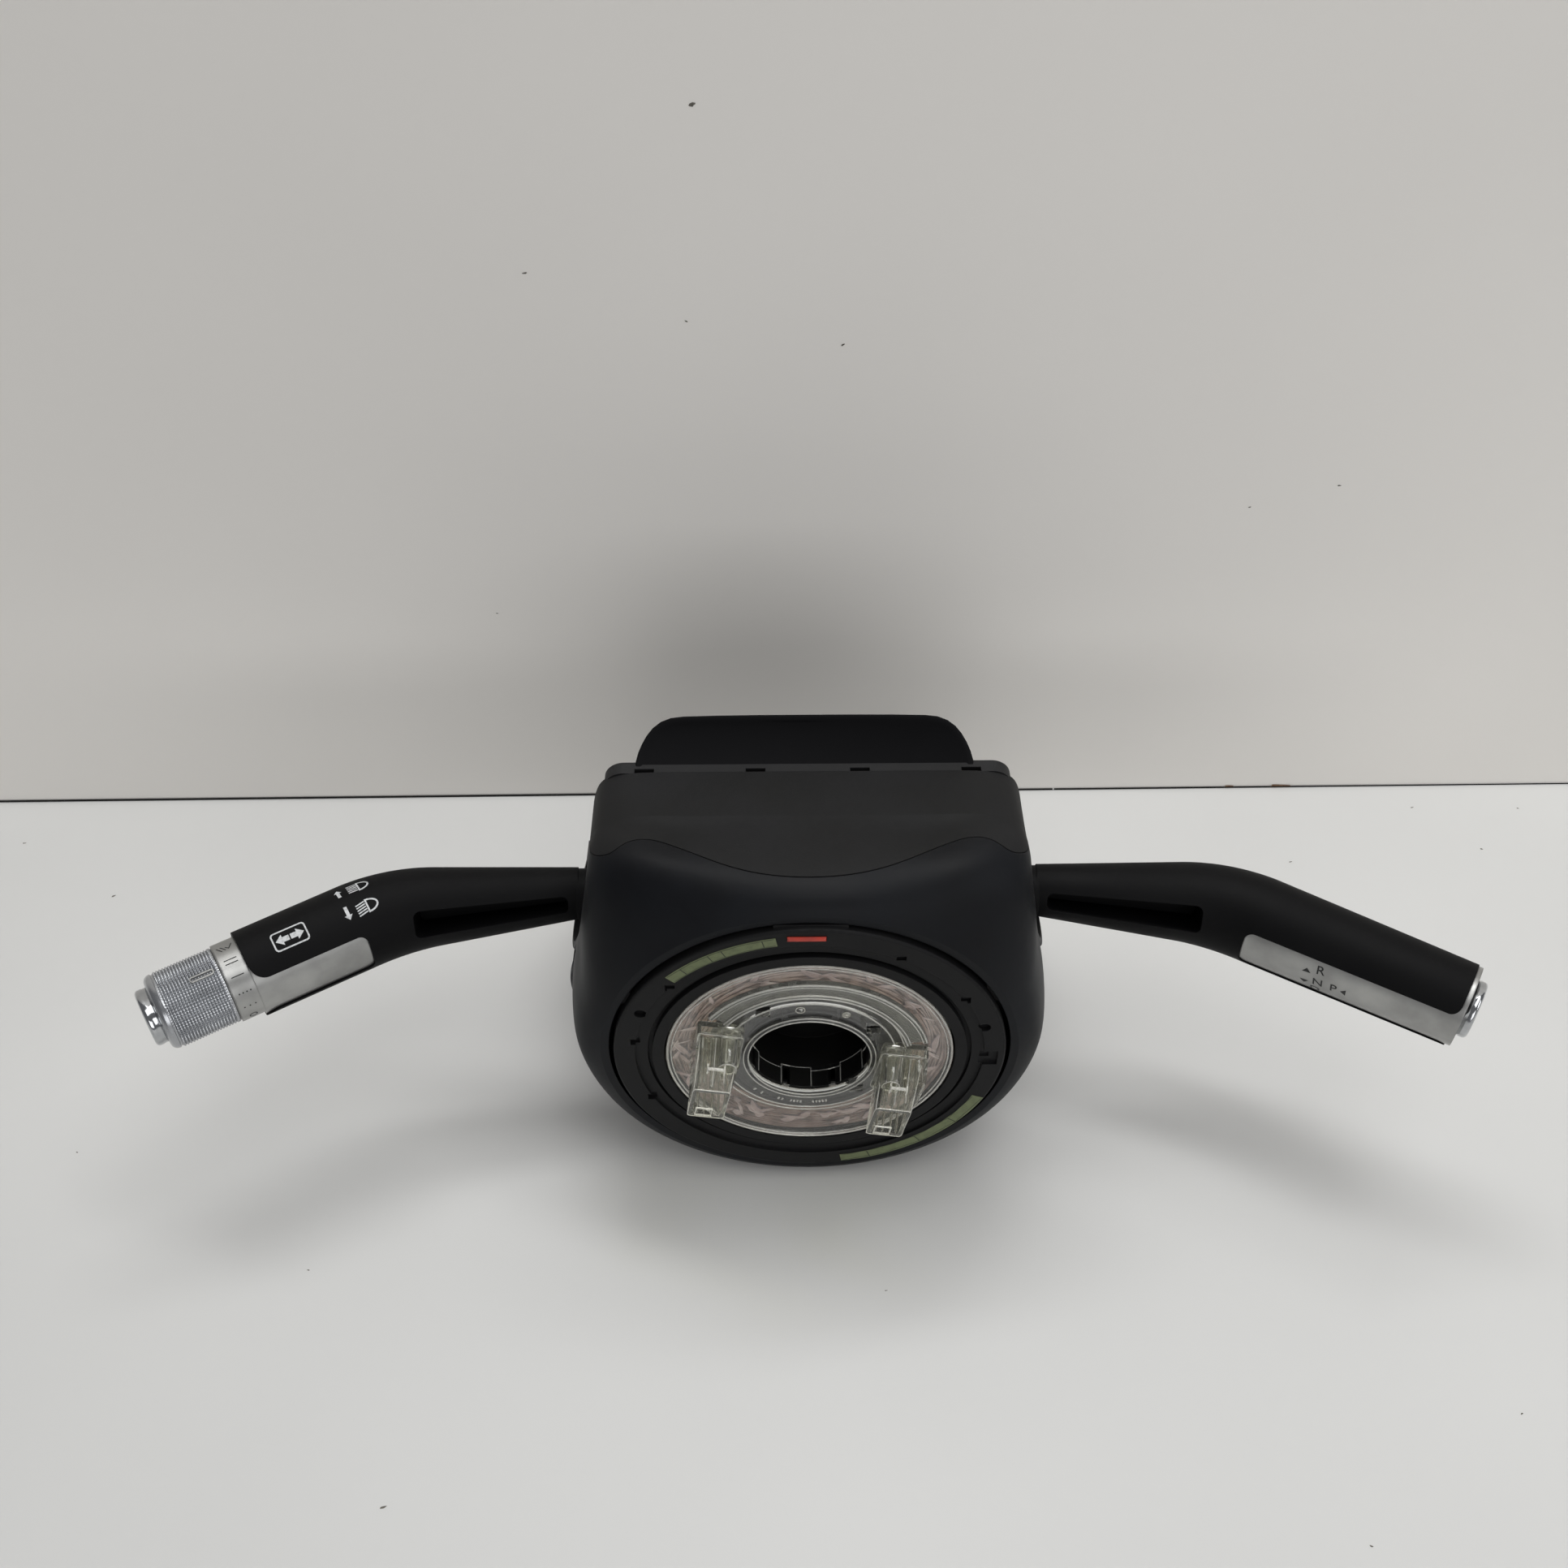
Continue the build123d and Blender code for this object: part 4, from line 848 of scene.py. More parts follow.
@dataclass(frozen=True)
class Run:
    """Axis of a stalk's straight outer run, on the right side or mirrored to the left."""

    side: Side
    start: Point3 = (162.8, 19.9, 15.0)
    slope: float = 32.2

    @property
    def along(self) -> Vector:
        """Direction of the run, outwards."""
        a = math.radians(self.slope)
        return Vector((self.side * math.cos(a), -math.sin(a), 0))

    @property
    def facing(self) -> Vector:
        """Level direction across the run, to the driver."""
        a = math.radians(self.slope)
        return Vector((-self.side * math.sin(a), -math.cos(a), 0))

    def centre(self, s: float) -> Vector:
        """Point on the axis at a distance from the sleeve's start."""
        x, y, z = self.start
        return Vector((self.side * x, y, z)) + self.along * s

    def frame(self, s: float) -> Matrix:
        """Frame on the axis: X to the driver, Y up or down, Z outwards along the run.

        Args:
            s: Distance along the run from the sleeve's start.

        Returns:
            The frame.
        """
        x, z = self.facing, self.along
        turn = Matrix((x, z.cross(x), z)).transposed().to_4x4()
        return Matrix.Translation(self.centre(s)) @ turn

    def patch(self, s: float, elevation: float, radius: float) -> Matrix:
        """Frame on the skin.

        Args:
            s: Distance along the run from the sleeve's start, outwards.
            elevation: Angle above the level direction to the driver, in degrees.
            radius: Distance from the axis.

        Returns:
            Frame with X to the driver's right along the run, Y up the skin and Z off it.
        """
        level, rise = polar(1.0, elevation)
        z = self.facing * level + Vector((0, 0, rise))
        x = self.along * self.side
        turn = Matrix((x, z.cross(x), z)).transposed().to_4x4()
        return Matrix.Translation(self.centre(s) + z * radius) @ turn


LEFT_RUN = Run(Side.LEFT)
RIGHT_RUN = Run(Side.RIGHT)


# ------------------------------------------------------------------ printed marks
class Stroke:
    """Outlines of small printed marks, in millimetres on a flat sheet."""

    @staticmethod
    def line(points: Sequence[Point2], width: float) -> list[Outline]:
        """Draw a line along points.

        Args:
            points: Points of the line.
            width: Width of the line.

        Returns:
            One four-cornered outline for each piece of the line, a little too long so that
            the pieces overlap at its bends.
        """
        quads = []
        for (x0, y0), (x1, y1) in zip(points, points[1:]):
            length = math.hypot(x1 - x0, y1 - y0)
            ux, uy = (x1 - x0) / length * width / 2, (y1 - y0) / length * width / 2
            quads.append([(x0 - ux * 0.9 + uy, y0 - uy * 0.9 - ux),
                          (x1 + ux * 0.9 + uy, y1 + uy * 0.9 - ux),
                          (x1 + ux * 0.9 - uy, y1 + uy * 0.9 + ux),
                          (x0 - ux * 0.9 - uy, y0 - uy * 0.9 + ux)])
        return quads

    @staticmethod
    def dots(places: Iterable[float], radius: float) -> list[Outline]:
        """Filled dots on the sheet's X axis at the given places."""
        return [arc(radius, range(0, 360, 30), x) for x in places]

    @staticmethod
    def hoop(radius: float, width: float, start: float = 0.0, end: float = 360.0) -> list[Outline]:
        """A circle or an arc about the sheet's origin, drawn with a line.

        Args:
            radius: Distance from the centre in millimetres.
            width: Width of the line.
            start: First angle in degrees.
            end: Last angle in degrees.

        Returns:
            One outline for each piece of the line.
        """
        count = max(4, int((end - start) / 20))
        angles = (start + (end - start) * i / count for i in range(count + 1))
        return Stroke.line(arc(radius, angles), width)

    @staticmethod
    def arrow(x: float, heading: float, length: float, head: float, shaft: float) -> list[Outline]:
        """A block arrow centred on a point of the sheet's X axis.

        Args:
            x: Centre.
            heading: Direction in degrees from the sheet's X.
            length: Whole length.
            head: Width of the head.
            shaft: Width of the shaft, nought for a bare triangle.

        Returns:
            The outlines of the head and the shaft.
        """
        neck = length / 2 - min(length, head * 0.62)
        shapes = [[(length / 2, 0), (neck, head / 2), (neck, -head / 2)]]
        if shaft:
            shapes.append([(-length / 2, -shaft / 2), (neck, -shaft / 2), (neck, shaft / 2),
                           (-length / 2, shaft / 2)])
        c, s = polar(1.0, heading)
        return [[(x + u * c - v * s, u * s + v * c) for u, v in shape] for shape in shapes]

    @staticmethod
    def frame(width: float, height: float, corner: float, line: float) -> list[Outline]:
        """A rounded rectangle drawn with a line, centred on the sheet."""
        points = slab(-width / 2, width / 2, -height / 2, height / 2, corner)
        return Stroke.line(points + points[:1], line)

    @staticmethod
    def headlamp(size: float, slant: float, line: float) -> list[Outline]:
        """A headlamp sign: a D-shaped lamp with five beams.

        Args:
            size: Height of the lamp.
            slant: Drop of each beam over its length.
            line: Width of the lines.

        Returns:
            The outlines, with the lamp to the right of the beams.
        """
        half = size / 2
        bow = [(0.05 * size + 0.8 * size * x, half * y) for x, y in arc(1.0, range(-90, 91, 15))]
        shapes = Stroke.line([*bow, bow[0]], line)
        for i in range(5):
            y = half * (0.84 - 0.42 * i)
            shapes += Stroke.line([(-0.1 * size, y), (-0.75 * size, y - slant)], line * 0.8)
        return shapes

    @staticmethod
    def text(words: str, size: float) -> list[Outline]:
        """Outlines of plain letters, as triangles from the built-in font.

        Args:
            words: The letters.
            size: Height of a capital letter in millimetres.

        Returns:
            Triangles centred on the sheet.
        """
        curve = bpy.data.curves.new("letters", "FONT")
        curve.body = words
        curve.size = size / 0.73  # a capital is 0.73 of the font's size
        curve.align_x = "CENTER"
        curve.offset = 0.035
        holder = bpy.data.objects.new("letters", curve)
        bpy.context.scene.collection.objects.link(holder)
        bpy.context.view_layer.update()
        flat = bpy.data.meshes.new_from_object(holder)
        flat.calc_loop_triangles()
        corners = [(vert.co.x, vert.co.y - size / 2) for vert in flat.vertices]
        shapes = [[corners[i] for i in triangle.vertices] for triangle in flat.loop_triangles]
        bpy.data.objects.remove(holder)
        bpy.data.curves.remove(curve)
        bpy.data.meshes.remove(flat)
        return shapes


class Skins:
    """Search trees over the carried-over solids, built when they are first asked for."""

    solids: dict[str, Piece] = {}
    trees: dict[str, BVHTree] = {}

    @classmethod
    def tree(cls, node: str) -> BVHTree:
        """Search tree over one solid's faces, in metres.

        Args:
            node: Name of the solid.

        Returns:
            The tree.
        """
        if node not in cls.trees:
            data = cls.solids[node].data
            cls.trees[node] = BVHTree.FromPolygons([vert.co for vert in data.vertices],
                                                   [list(face.vertices) for face in data.polygons])
        return cls.trees[node]


@dataclass
class Print:
    """Ink printed on a solid: flat outlines laid on its skin."""

    name: str
    body: str
    node: str
    finish: Finish
    place: Matrix
    shapes: list[Outline]
    turn: float = 0.0
    lift: float = 0.05
    reach: float = 12.0
    facet: float = 0.9
    cuts: int = 3

    def build(self) -> None:
        """Lay the outlines on the skin and put the ink on its body."""
        work = bmesh.new()
        spin = Matrix.Rotation(math.radians(self.turn), 4, "Z")
        for outline in self.shapes:
            work.faces.new(spread(work, [spin @ Vector((x, y, 0)) for x, y in outline]))
        self._divide(work)
        axis = (self.place.to_3x3() @ Vector((0, 0, 1))).normalized()
        skin = Skins.tree(self.node)
        for vert in work.verts:
            spot = self.place @ (vert.co / MM)
            found = skin.ray_cast((spot + axis * self.reach) * MM, -axis, 3 * self.reach * MM)[0]
            vert.co = (spot * MM if found is None else found) + axis * self.lift * MM
        bmesh.ops.recalc_face_normals(work, faces=work.faces)
        for face in work.faces:
            if face.normal.dot(axis) < 0:
                face.normal_flip()
        made = add_object(self.name, work, self.finish)
        made.data.shade_smooth()
        settle(made, self.body, self.finish)

    def _divide(self, work: Mesh) -> None:
        """Cut the outlines into faces small enough to follow a round skin.

        Args:
            work: Mesh that gets the faces.
        """
        bmesh.ops.triangulate(work, faces=work.faces)
        for _ in range(self.cuts):
            long_edges = [edge for edge in work.edges if edge.calc_length() > self.facet * MM]
            if not long_edges:
                break
            bmesh.ops.subdivide_edges(work, edges=long_edges, cuts=1)
            bmesh.ops.triangulate(work, faces=work.faces)


@dataclass(frozen=True)
class InkedSkin:
    """A part of a stalk that takes signs, with the ink that suits it."""

    run: Run
    node: str
    ink: Finish
    radius: float

    def sign(self, name: str, s: float, elevation: float, shapes: list[Outline],
             turn: float = 0.0) -> None:
        """Print one sign.

        Args:
            name: Name of the piece.
            s: Distance along the run from the sleeve's start.
            elevation: Angle above the level direction to the driver, in degrees.
            shapes: Outlines of the sign.
            turn: Turn of the sign on the skin in degrees.
        """
        body = f"{self.run.side.name.lower()}_stalk"
        place = self.run.patch(s, elevation, self.radius)
        Print(name, body, self.node, self.ink, place, shapes, turn).build()


@dataclass
class StalkPrints:
    """Signs printed on both stalks, each laid on the skin that it belongs to."""

    arm: InkedSkin = InkedSkin(LEFT_RUN, "left_arm", Finishes.PRINT_PALE, 13.3)
    sleeve: InkedSkin = InkedSkin(LEFT_RUN, "left_trim", Finishes.PRINT_DARK, 11.9)
    trim: InkedSkin = InkedSkin(RIGHT_RUN, "right_trim", Finishes.PRINT_DARK, 12.6)
    line: float = 0.5
    fine: float = 0.3
    sleeve_row: float = 3.4
    dot: float = 0.24
    letter: float = 3.05
    letter_turn: float = 7.0
    arrow_turn: float = 5.0
    letters: tuple[tuple[str, float, float], ...] = (
        ("R", -11.2, 15.5), ("N", -10.9, -7.5), ("D", -11.1, -27.5), ("P", -6.4, -6.0))
    heads: tuple[tuple[str, float, float, float, float], ...] = (
        ("arrow_forward", -14.8, 6.5, 90, 2.0), ("arrow_back", -14.6, -15.5, -90, 2.0),
        ("arrow_park", -3.2, -6.6, 180, 2.2))

    def build(self) -> None:
        """Print every sign."""
        self._left_signs()
        self._sleeve_signs()
        self._right_signs()

    def _left_signs(self) -> None:
        """Turn signal box, two headlamps and their arrows, in pale ink on the black arm."""
        line, sign = self.line, self.arm.sign
        box = Stroke.frame(9.8, 5.5, 0.9, line * 0.9)
        box += Stroke.arrow(-2.2, 180, 4.0, 3.4, 1.6) + Stroke.arrow(2.2, 0, 4.0, 3.4, 1.6)
        sign("sign_turn_signal", -13.7, 70.0, box)
        sign("sign_high_beam", -36.9, 100.5, Stroke.headlamp(3.75, 0.0, line))
        sign("sign_low_beam", -36.7, 67.0, Stroke.headlamp(3.8, 0.5, line))
        sign("sign_arrow_up", -31.1, 100.5, Stroke.arrow(0, 90, 3.6, 2.3, 1.0))
        sign("sign_arrow_down", -30.9, 67.8, Stroke.arrow(0, -90, 4.3, 2.4, 1.0))

    def _sleeve_signs(self) -> None:
        """Wiper settings round the fixed sleeve, in dark ink."""
        w = self.fine
        mist = [Stroke.line(points, w) for points in (
            [(-2.2, 0.9), (-1.1, -0.9)], [(-1.1, 1.0), (0.0, -0.8)],
            [(0.2, 0.2), (1.0, -0.7), (2.1, 1.2)])]
        high, middle, low = (Stroke.line([(-1.7, y), (1.7, y)], w) for y in (0.65, 0, -0.65))
        for name, elevation, shapes in (
                ("mark_mist", 101, sum(mist, [])),
                ("mark_fast", 75, high + low),
                ("mark_slow", 52, middle),
                ("mark_interval_short", 27, Stroke.dots((-1.6, -0.5, 0.6, 1.7), self.dot)),
                ("mark_interval_long", 4, Stroke.dots((-1.6, 0.0, 1.6), self.dot)),
                ("mark_off", -21, Stroke.hoop(1.05, w))):
            self.sleeve.sign(name, self.sleeve_row, elevation, shapes)

    def _right_signs(self) -> None:
        """Gear letters and arrow heads on the silver trim, in dark ink."""
        for word, s, elevation in self.letters:
            self.trim.sign("letter_" + word.lower(), s, elevation,
                           Stroke.text(word, self.letter), self.letter_turn)
        for name, s, elevation, heading, length in self.heads:
            self.trim.sign(name, s, elevation, Stroke.arrow(0, heading, length, 2.5, 0),
                           self.arrow_turn)


# ------------------------------------------------------------------ stalk ends
@dataclass
class WiperKnob:
    """Turning knob at the end of the left stalk: knurled barrel, smooth shoulder, pointer."""

    first: float = 7.1
    last: float = 26.8
    radius: float = 11.5
    bore: float = 7.05
    counterbore: float = 8.8
    floor: float = 20.0
    knurl_first: float = 7.5
    rings: int = 19
    pitch: float = 0.86
    columns: int = 82
    facets: int = 3
    ring_depth: float = 0.42
    column_depth: float = 0.26
    shoulder: float = 2.0
    pointer: tuple[float, float] = (12.1, 72.5)
    pointer_size: Point2 = (7.2, 1.9)
    groove_size: Point2 = (6.3, 0.95)

    def build(self) -> None:
        """Build the barrel, its pointer and the washer that the knob turns against."""
        for name, fill, finish, body, nodes in (
                ("knob_barrel", self._barrel, Finishes.KNURL, "wiper_knob", ("left_knob",)),
                ("knob_pointer", self._pointer, Finishes.SILVER, "wiper_knob", ()),
                ("knob_pointer_groove", self._groove, Finishes.GROOVE, "wiper_knob", ()),
                ("sleeve_end_washer", self._washer, Finishes.SILVER, "left_stalk", ())):
            add_piece(name, fill, finish, body, *nodes)

    @property
    def knurl_last(self) -> float:
        """End of the knurl along the run."""
        return self.knurl_first + self.rings * self.pitch

    def _cut(self, along: float, angle: float) -> float:
        """Work out the grooves that run lengthwise through the knurl.

        Args:
            along: Distance along the run.
            angle: Angle round the knob in radians.

        Returns:
            Extra radius in millimetres, nought outside a groove.
        """
        if not self.knurl_first < along < self.knurl_last:
            return 0.0
        step = round(angle / (2 * math.pi) * self.columns * self.facets)
        return -self.column_depth if step % self.facets == 0 else 0.0

    def _barrel(self, work: Mesh) -> None:
        """Knurled surface: ridges round the barrel, cut lengthwise into blunt pyramids.

        Args:
            work: Mesh that gets the faces.
        """
        radius, neck, bend = self.radius, self.knurl_last, self.last - self.shoulder
        profile = [(self.first, self.bore), (self.first, 11.35), (self.first + 0.12, 11.45)]
        for ring in range(self.rings):
            start = self.knurl_first + ring * self.pitch
            profile += [(start + 0.2, radius), (start + 0.46, radius),
                        (start + self.pitch - 0.1, radius - self.ring_depth)]
        profile += [(neck + 0.1, radius - 0.5), (neck + 0.45, radius - 0.5),
                    (neck + 0.6, radius - 0.12), (bend, radius - 0.2)]
        for t in (12, 26, 40, 55, 70, 82):
            a = math.radians(t)
            profile.append((bend + 1.95 * math.sin(a), radius - 0.2 - 2.1 * (1 - math.cos(a))))
        profile += [(self.last, self.counterbore + 0.25), (self.last - 0.2, self.counterbore),
                    (self.floor, self.counterbore), (self.floor, self.bore)]
        add_lathe(work, profile, LEFT_RUN.frame(0), self.columns * self.facets, closed=True,
                  shape=self._cut)

    def _washer(self, work: Mesh) -> None:
        """Bright washer that closes the gap between the fixed sleeve and the knob."""
        add_lathe(work, [(6.6, 7.1), (6.6, 11.2), (6.95, 11.2), (7.0, 11.1), (7.0, 7.1)],
                  LEFT_RUN.frame(0), 96, closed=True)

    @staticmethod
    def _slot(length: float, width: float) -> Outline:
        """Outline of a slot with round ends, along X.

        Args:
            length: Whole length.
            width: Whole width.

        Returns:
            The outline's points.
        """
        straight = (length - width) / 2
        end = [(straight + x, y) for x, y in arc(width / 2, range(-90, 91, 15))]
        return end + [(-x, -y) for x, y in end]

    def _pointer(self, work: Mesh) -> None:
        """Raised border of the pointer.

        Args:
            work: Mesh that gets the faces.
        """
        place = LEFT_RUN.patch(*self.pointer, 0)
        outer, inner = self._slot(*self.pointer_size), self._slot(*self.groove_size)
        chamfer = self._slot(self.pointer_size[0] - 0.2, self.pointer_size[1] - 0.2)
        bridge(work, [spread(work, [place @ Vector((x, y, level)) for x, y in outline])
                      for outline, level in ((outer, 10.8), (outer, 11.7), (chamfer, 11.8),
                                             (inner, 11.8), (inner, 11.2))])

    def _groove(self, work: Mesh) -> None:
        """Sunk line inside the border, darkened as painted shade."""
        add_prism(work, self._slot(*self.groove_size), 11.0, 11.42,
                  LEFT_RUN.patch(*self.pointer, 0))


@dataclass
class EndButton:
    """Push button in the end of a stalk: polished rim round a dished chrome insert, darkened as a
    painted reflection.
    """

    name: str
    run: Run
    body: str
    nodes: tuple[str, str]
    first: float
    last: float
    stem: float
    stem_radius: float = 3.9
    radius: float = 8.5
    dish: float = 6.25
    seat: float = 1.4
    roll: float = 1.1

    def build(self) -> None:
        """Build the rim and the insert."""
        for part, fill, finish, node in (
                ("_rim", self._rim, Finishes.POLISHED, self.nodes[0]),
                ("_insert", self._insert, Finishes.CHROME_PAINTED_DARK, self.nodes[1])):
            add_piece(self.name + part, fill, finish, self.body, node)

    def _rim(self, work: Mesh) -> None:
        """Rim with a rolled front edge and a stepped shoulder.

        Args:
            work: Mesh that gets the faces.
        """
        r, last, dish, seat = self.radius, self.last, self.dish, self.last - self.seat
        profile = [(self.stem, 0.0), (self.stem, self.stem_radius),
                   (self.first, self.stem_radius), (self.first, r - 0.1),
                   (last - 2.3, r - 0.1), (last - 2.1, r), (last - self.roll, r)]
        for t in (15, 35, 55, 75, 90):
            a = math.radians(t)
            profile.append((last - self.roll + self.roll * math.sin(a),
                            r - 1.2 * (1 - math.cos(a))))
        profile += [(last, dish + 0.45), (last - 0.15, dish + 0.15), (last - 0.5, dish + 0.05),
                    (seat, dish + 0.05), (seat, 0.0)]
        add_lathe(work, profile, self.run.frame(0), 96)

    def _insert(self, work: Mesh) -> None:
        """Dish whose chrome is darkened as a painted reflection of the room, with a flat bright
        margin.

        Args:
            work: Mesh that gets the faces.
        """
        last, dish, rings = self.last, self.dish, 6
        profile = [(last - self.seat, 0.0), (last - self.seat, dish), (last - 0.35, dish),
                   (last - 0.28, dish - 0.1), (last - 0.28, dish - 0.7)]
        for step in range(rings + 1):
            reach = (dish - 0.9) * (1 - step / rings)
            profile.append((last - 1.15 + 0.85 * (reach / (dish - 0.9)) ** 2, reach))
        add_lathe(work, profile, self.run.frame(0), 96)


# ------------------------------------------------------------------ clock spring
@dataclass
class PlugTower:
    """Clear tower on the rotor that takes one plug of the steering wheel's wiring.

    Its own frame has X across, Y up and Z to the driver, from the front face.
    """

    name: str
    node: str
    side: Side
    slab_height: float
    shift: float
    lean: float
    at: Point2 = (26.2, 2.2)
    turn: float = -11.0
    wall: float = 1.05
    length: float = 19.8
    step: float = 3.6
    post: Point2 = (-2.7, 4.7)
    ribs: tuple[Point3, ...] = ((-4.7, 5.5, 18.6), (-3.6, 5.2, 17.2), (-1.7, 5.6, 18.9),
                                (0.5, 5.2, 16.4), (2.3, 5.6, 17.8), (4.2, 5.3, 12.6))
    highlight_lines: tuple[tuple[Point2, Point2, float], ...] = (
        ((-5.5, -7.9), (-6.2, -7.8), 19.8), ((-5.5, 4.7), (-6.2, 4.6), 19.8),
        ((5.9, -7.9), (3.8, -7.8), 19.8), ((5.9, 4.7), (3.8, 4.6), 19.8),
        ((-0.9, 5.7), (-1.3, 5.6), 18.9), ((2.2, 5.7), (1.8, 5.6), 17.8))

    def build(self) -> None:
        """Build the tower's walls, its ribs and latches, the painted highlights on its edges and
        the pins.
        """
        for part, fill, finish, nodes in (
                ("_walls", self._walls, Finishes.CLEAR_THICK, (self.node,)),
                ("_edges", self._edges, Finishes.EDGE_HIGHLIGHT, ()),
                ("_pins", self._pins, Finishes.PINS, ())):
            add_piece(self.name + part, fill, finish, "rotor", *nodes)

    @property
    def place(self) -> Matrix:
        """The tower's own frame in the row frame."""
        slant = Matrix(((1, 0, self.lean, 0), (0, 1, 0, 0), (0, 0, 1, 0), (0, 0, 0, 1)))
        spot = Matrix.Translation((self.side * self.at[0] + self.shift, self.at[1], 0))
        return face_frame(0, self.turn) @ spot @ slant

    def _post_frame(self, height: float) -> Matrix:
        """Frame of the round guide post at a height."""
        return self.place @ Matrix.Translation((self.side * self.post[0], self.post[1], height))

    def _walls(self, work: Mesh) -> None:
        """Foot, slanted main shell, outer slab, guide post, dividing walls and ribs.

        Args:
            work: Mesh that gets the faces.
        """
        place, step = self.place, self.step
        self._shell(work, ((-0.7, -6.7, 6.7, -8.4, 8.4), (step, -6.6, 6.6, -8.3, 8.2)), 0.5)
        self._shell(work, ((0.6, -5.3, 5.3, -8.0, 4.8), (9.2, -5.6, 6.2, -8.0, 4.8),
                           (self.length, -6.3, 3.9, -7.9, 4.7)), 1.6)
        near, far = sorted(self.side * u for u in (5.7, 6.7))
        add_box(work, (near, -3.0, 0.6), (far, 8.2, self.slab_height), place)
        add_lathe(work, [(0.2, 3.5), (11.4, 3.4), (12.2, 2.8), (12.2, 2.0), (1.0, 2.0)],
                  self._post_frame(0), 32, closed=True)
        add_box(work, (-0.5, -6.8, 1.2), (0.5, 3.6, 11.0), place)
        add_box(work, (-4.8, -2.2, 1.2), (3.6, -1.7, 9.0), place)
        for u, high, last in self.ribs:
            add_box(work, (u - 0.2, 4.4, 2.6), (u + 0.2, high, last), place)
            add_box(work, (u - 0.2, -8.4, step), (u + 0.2, -7.6, 18.9), place)

    def _shell(self, work: Mesh, levels: Sequence[tuple[float, ...]], floor: float) -> None:
        """Add a thin-walled box that is open at its last level.

        Args:
            work: Mesh that gets the box.
            levels: Height, then the low and high sides across and up, from the closed end.
            floor: Height of the inner floor.
        """
        wall, (top, *sides) = self.wall, levels[-1]
        outer = [self._shell_ring(work, level[0], level[1:], 0.0) for level in levels]
        inner = [self._shell_ring(work, max(level[0], floor), level[1:], wall)
                 for level in levels]
        lip = [self._shell_ring(work, top + 0.12, sides, inset) for inset in (0.15, wall - 0.15)]
        bridge(work, [*outer, *lip, *reversed(inner)])
        work.faces.new(list(reversed(outer[0])))
        work.faces.new(inner[0])
        bmesh.ops.remove_doubles(work, verts=work.verts, dist=1e-7)

    def _shell_ring(self, work: Mesh, height: float, sides: Sequence[float],
                    inset: float) -> Corners:
        """Add one ring of a thin-walled box.

        Args:
            work: Mesh that gets the ring.
            height: Height of the ring.
            sides: Low and high sides across and up.
            inset: Distance inside those sides.

        Returns:
            The ring's vertices.
        """
        low_u, high_u, low_v, high_v = sides
        outline = slab(low_u + inset, high_u - inset, low_v + inset, high_v - inset,
                       max(1.0 - inset, 0.2))
        return spread(work, [self.place @ Vector((u, v, height)) for u, v in outline])

    def _edges(self, work: Mesh) -> None:
        """Latch bar, window frame and lips in the pale edge finish that paints their highlights,
        and thin rods up the corners that are painted highlights only.

        Args:
            work: Mesh that gets the faces.
        """
        place, top = self.place, self.length
        along = Matrix.Rotation(math.radians(90), 4, "Y")
        add_lathe(work, [(-2.3, 0.0), (-2.3, 0.42), (2.3, 0.42), (2.3, 0.0)],
                  place @ Matrix.Translation((-0.4, 5.9, 13.4)) @ along, 16)
        for u in (-2.9, 1.8):
            add_prism(work, slab(-0.22, 0.22, 4.9, 6.7, 0.15), 12.3, 14.5,
                      place @ Matrix.Translation((u, 0, 0)))
        for low, high in (((-4.4, -7.6, top - 0.2), (0.4, -7.2, top + 0.1)),
                          ((-4.4, -4.5, top - 0.4), (0.4, -4.15, top)),
                          ((-4.4, -7.6, top - 0.4), (-4.05, -4.2, top + 0.05)),
                          ((0.05, -7.6, top - 0.4), (0.4, -4.2, top + 0.05)),
                          ((-0.15, 0.8, 6.0), (3.0, 1.2, 6.5))):
            add_box(work, low, high, place)
        # painted highlights: thin pale rods up the tower's corners
        for foot, head, last in self.highlight_lines:
            low, high = place @ Vector((*foot, 1.4)), place @ Vector((*head, last))
            aim, length = (high - low).to_track_quat("Z", "Y"), (high - low).length
            add_lathe(work, [(0.0, 0.0), (0.0, 0.13), (length, 0.13), (length, 0.0)],
                      Matrix.Translation(low) @ aim.to_matrix().to_4x4(), 8)
        self._bead(work, slab(-6.32, 3.92, -7.92, 4.72, 1.0), top, 0.17)
        self._bead(work, slab(-6.62, 6.62, -8.32, 8.22, 1.0), self.step, 0.12)
        add_lathe(work, [(-0.1, 2.3), (0.1, 2.3), (0.1, 2.65), (-0.1, 2.65)],
                  self._post_frame(12.2), 32, closed=True)

    def _bead(self, work: Mesh, outline: Outline, height: float, radius: float) -> None:
        """Round bead along a closed flat outline.

        Args:
            work: Mesh that gets the bead.
            outline: Points in the tower's frame.
            height: Height of the outline.
            radius: Radius of the bead.
        """
        points = [Vector((u, v, height)) for u, v in outline]
        middle = sum(points, Vector()) / len(points)
        rings = []
        for point in points:
            away = (point - middle).normalized()
            rings.append(spread(work, [self.place @ (point + away * out + Vector((0, 0, up)))
                                       for out, up in arc(radius, range(0, 360, 60))]))
        bridge(work, rings, closed=True)

    def _pins(self, work: Mesh) -> None:
        """Square contact pins on the floor of the socket, with pointed tips.

        Args:
            work: Mesh that gets the faces.
        """
        for u in (-2.6, 2.6):
            for v in (-5.0, -1.6, 1.8):
                here = self.place @ Matrix.Translation((u, v, 0))
                add_prism(work, slab(-0.4, 0.4, -0.4, 0.4, 0.08), 1.4, 8.6, here)
                add_prism(work, slab(-0.22, 0.22, -0.22, 0.22, 0.05), 8.6, 9.2, here)


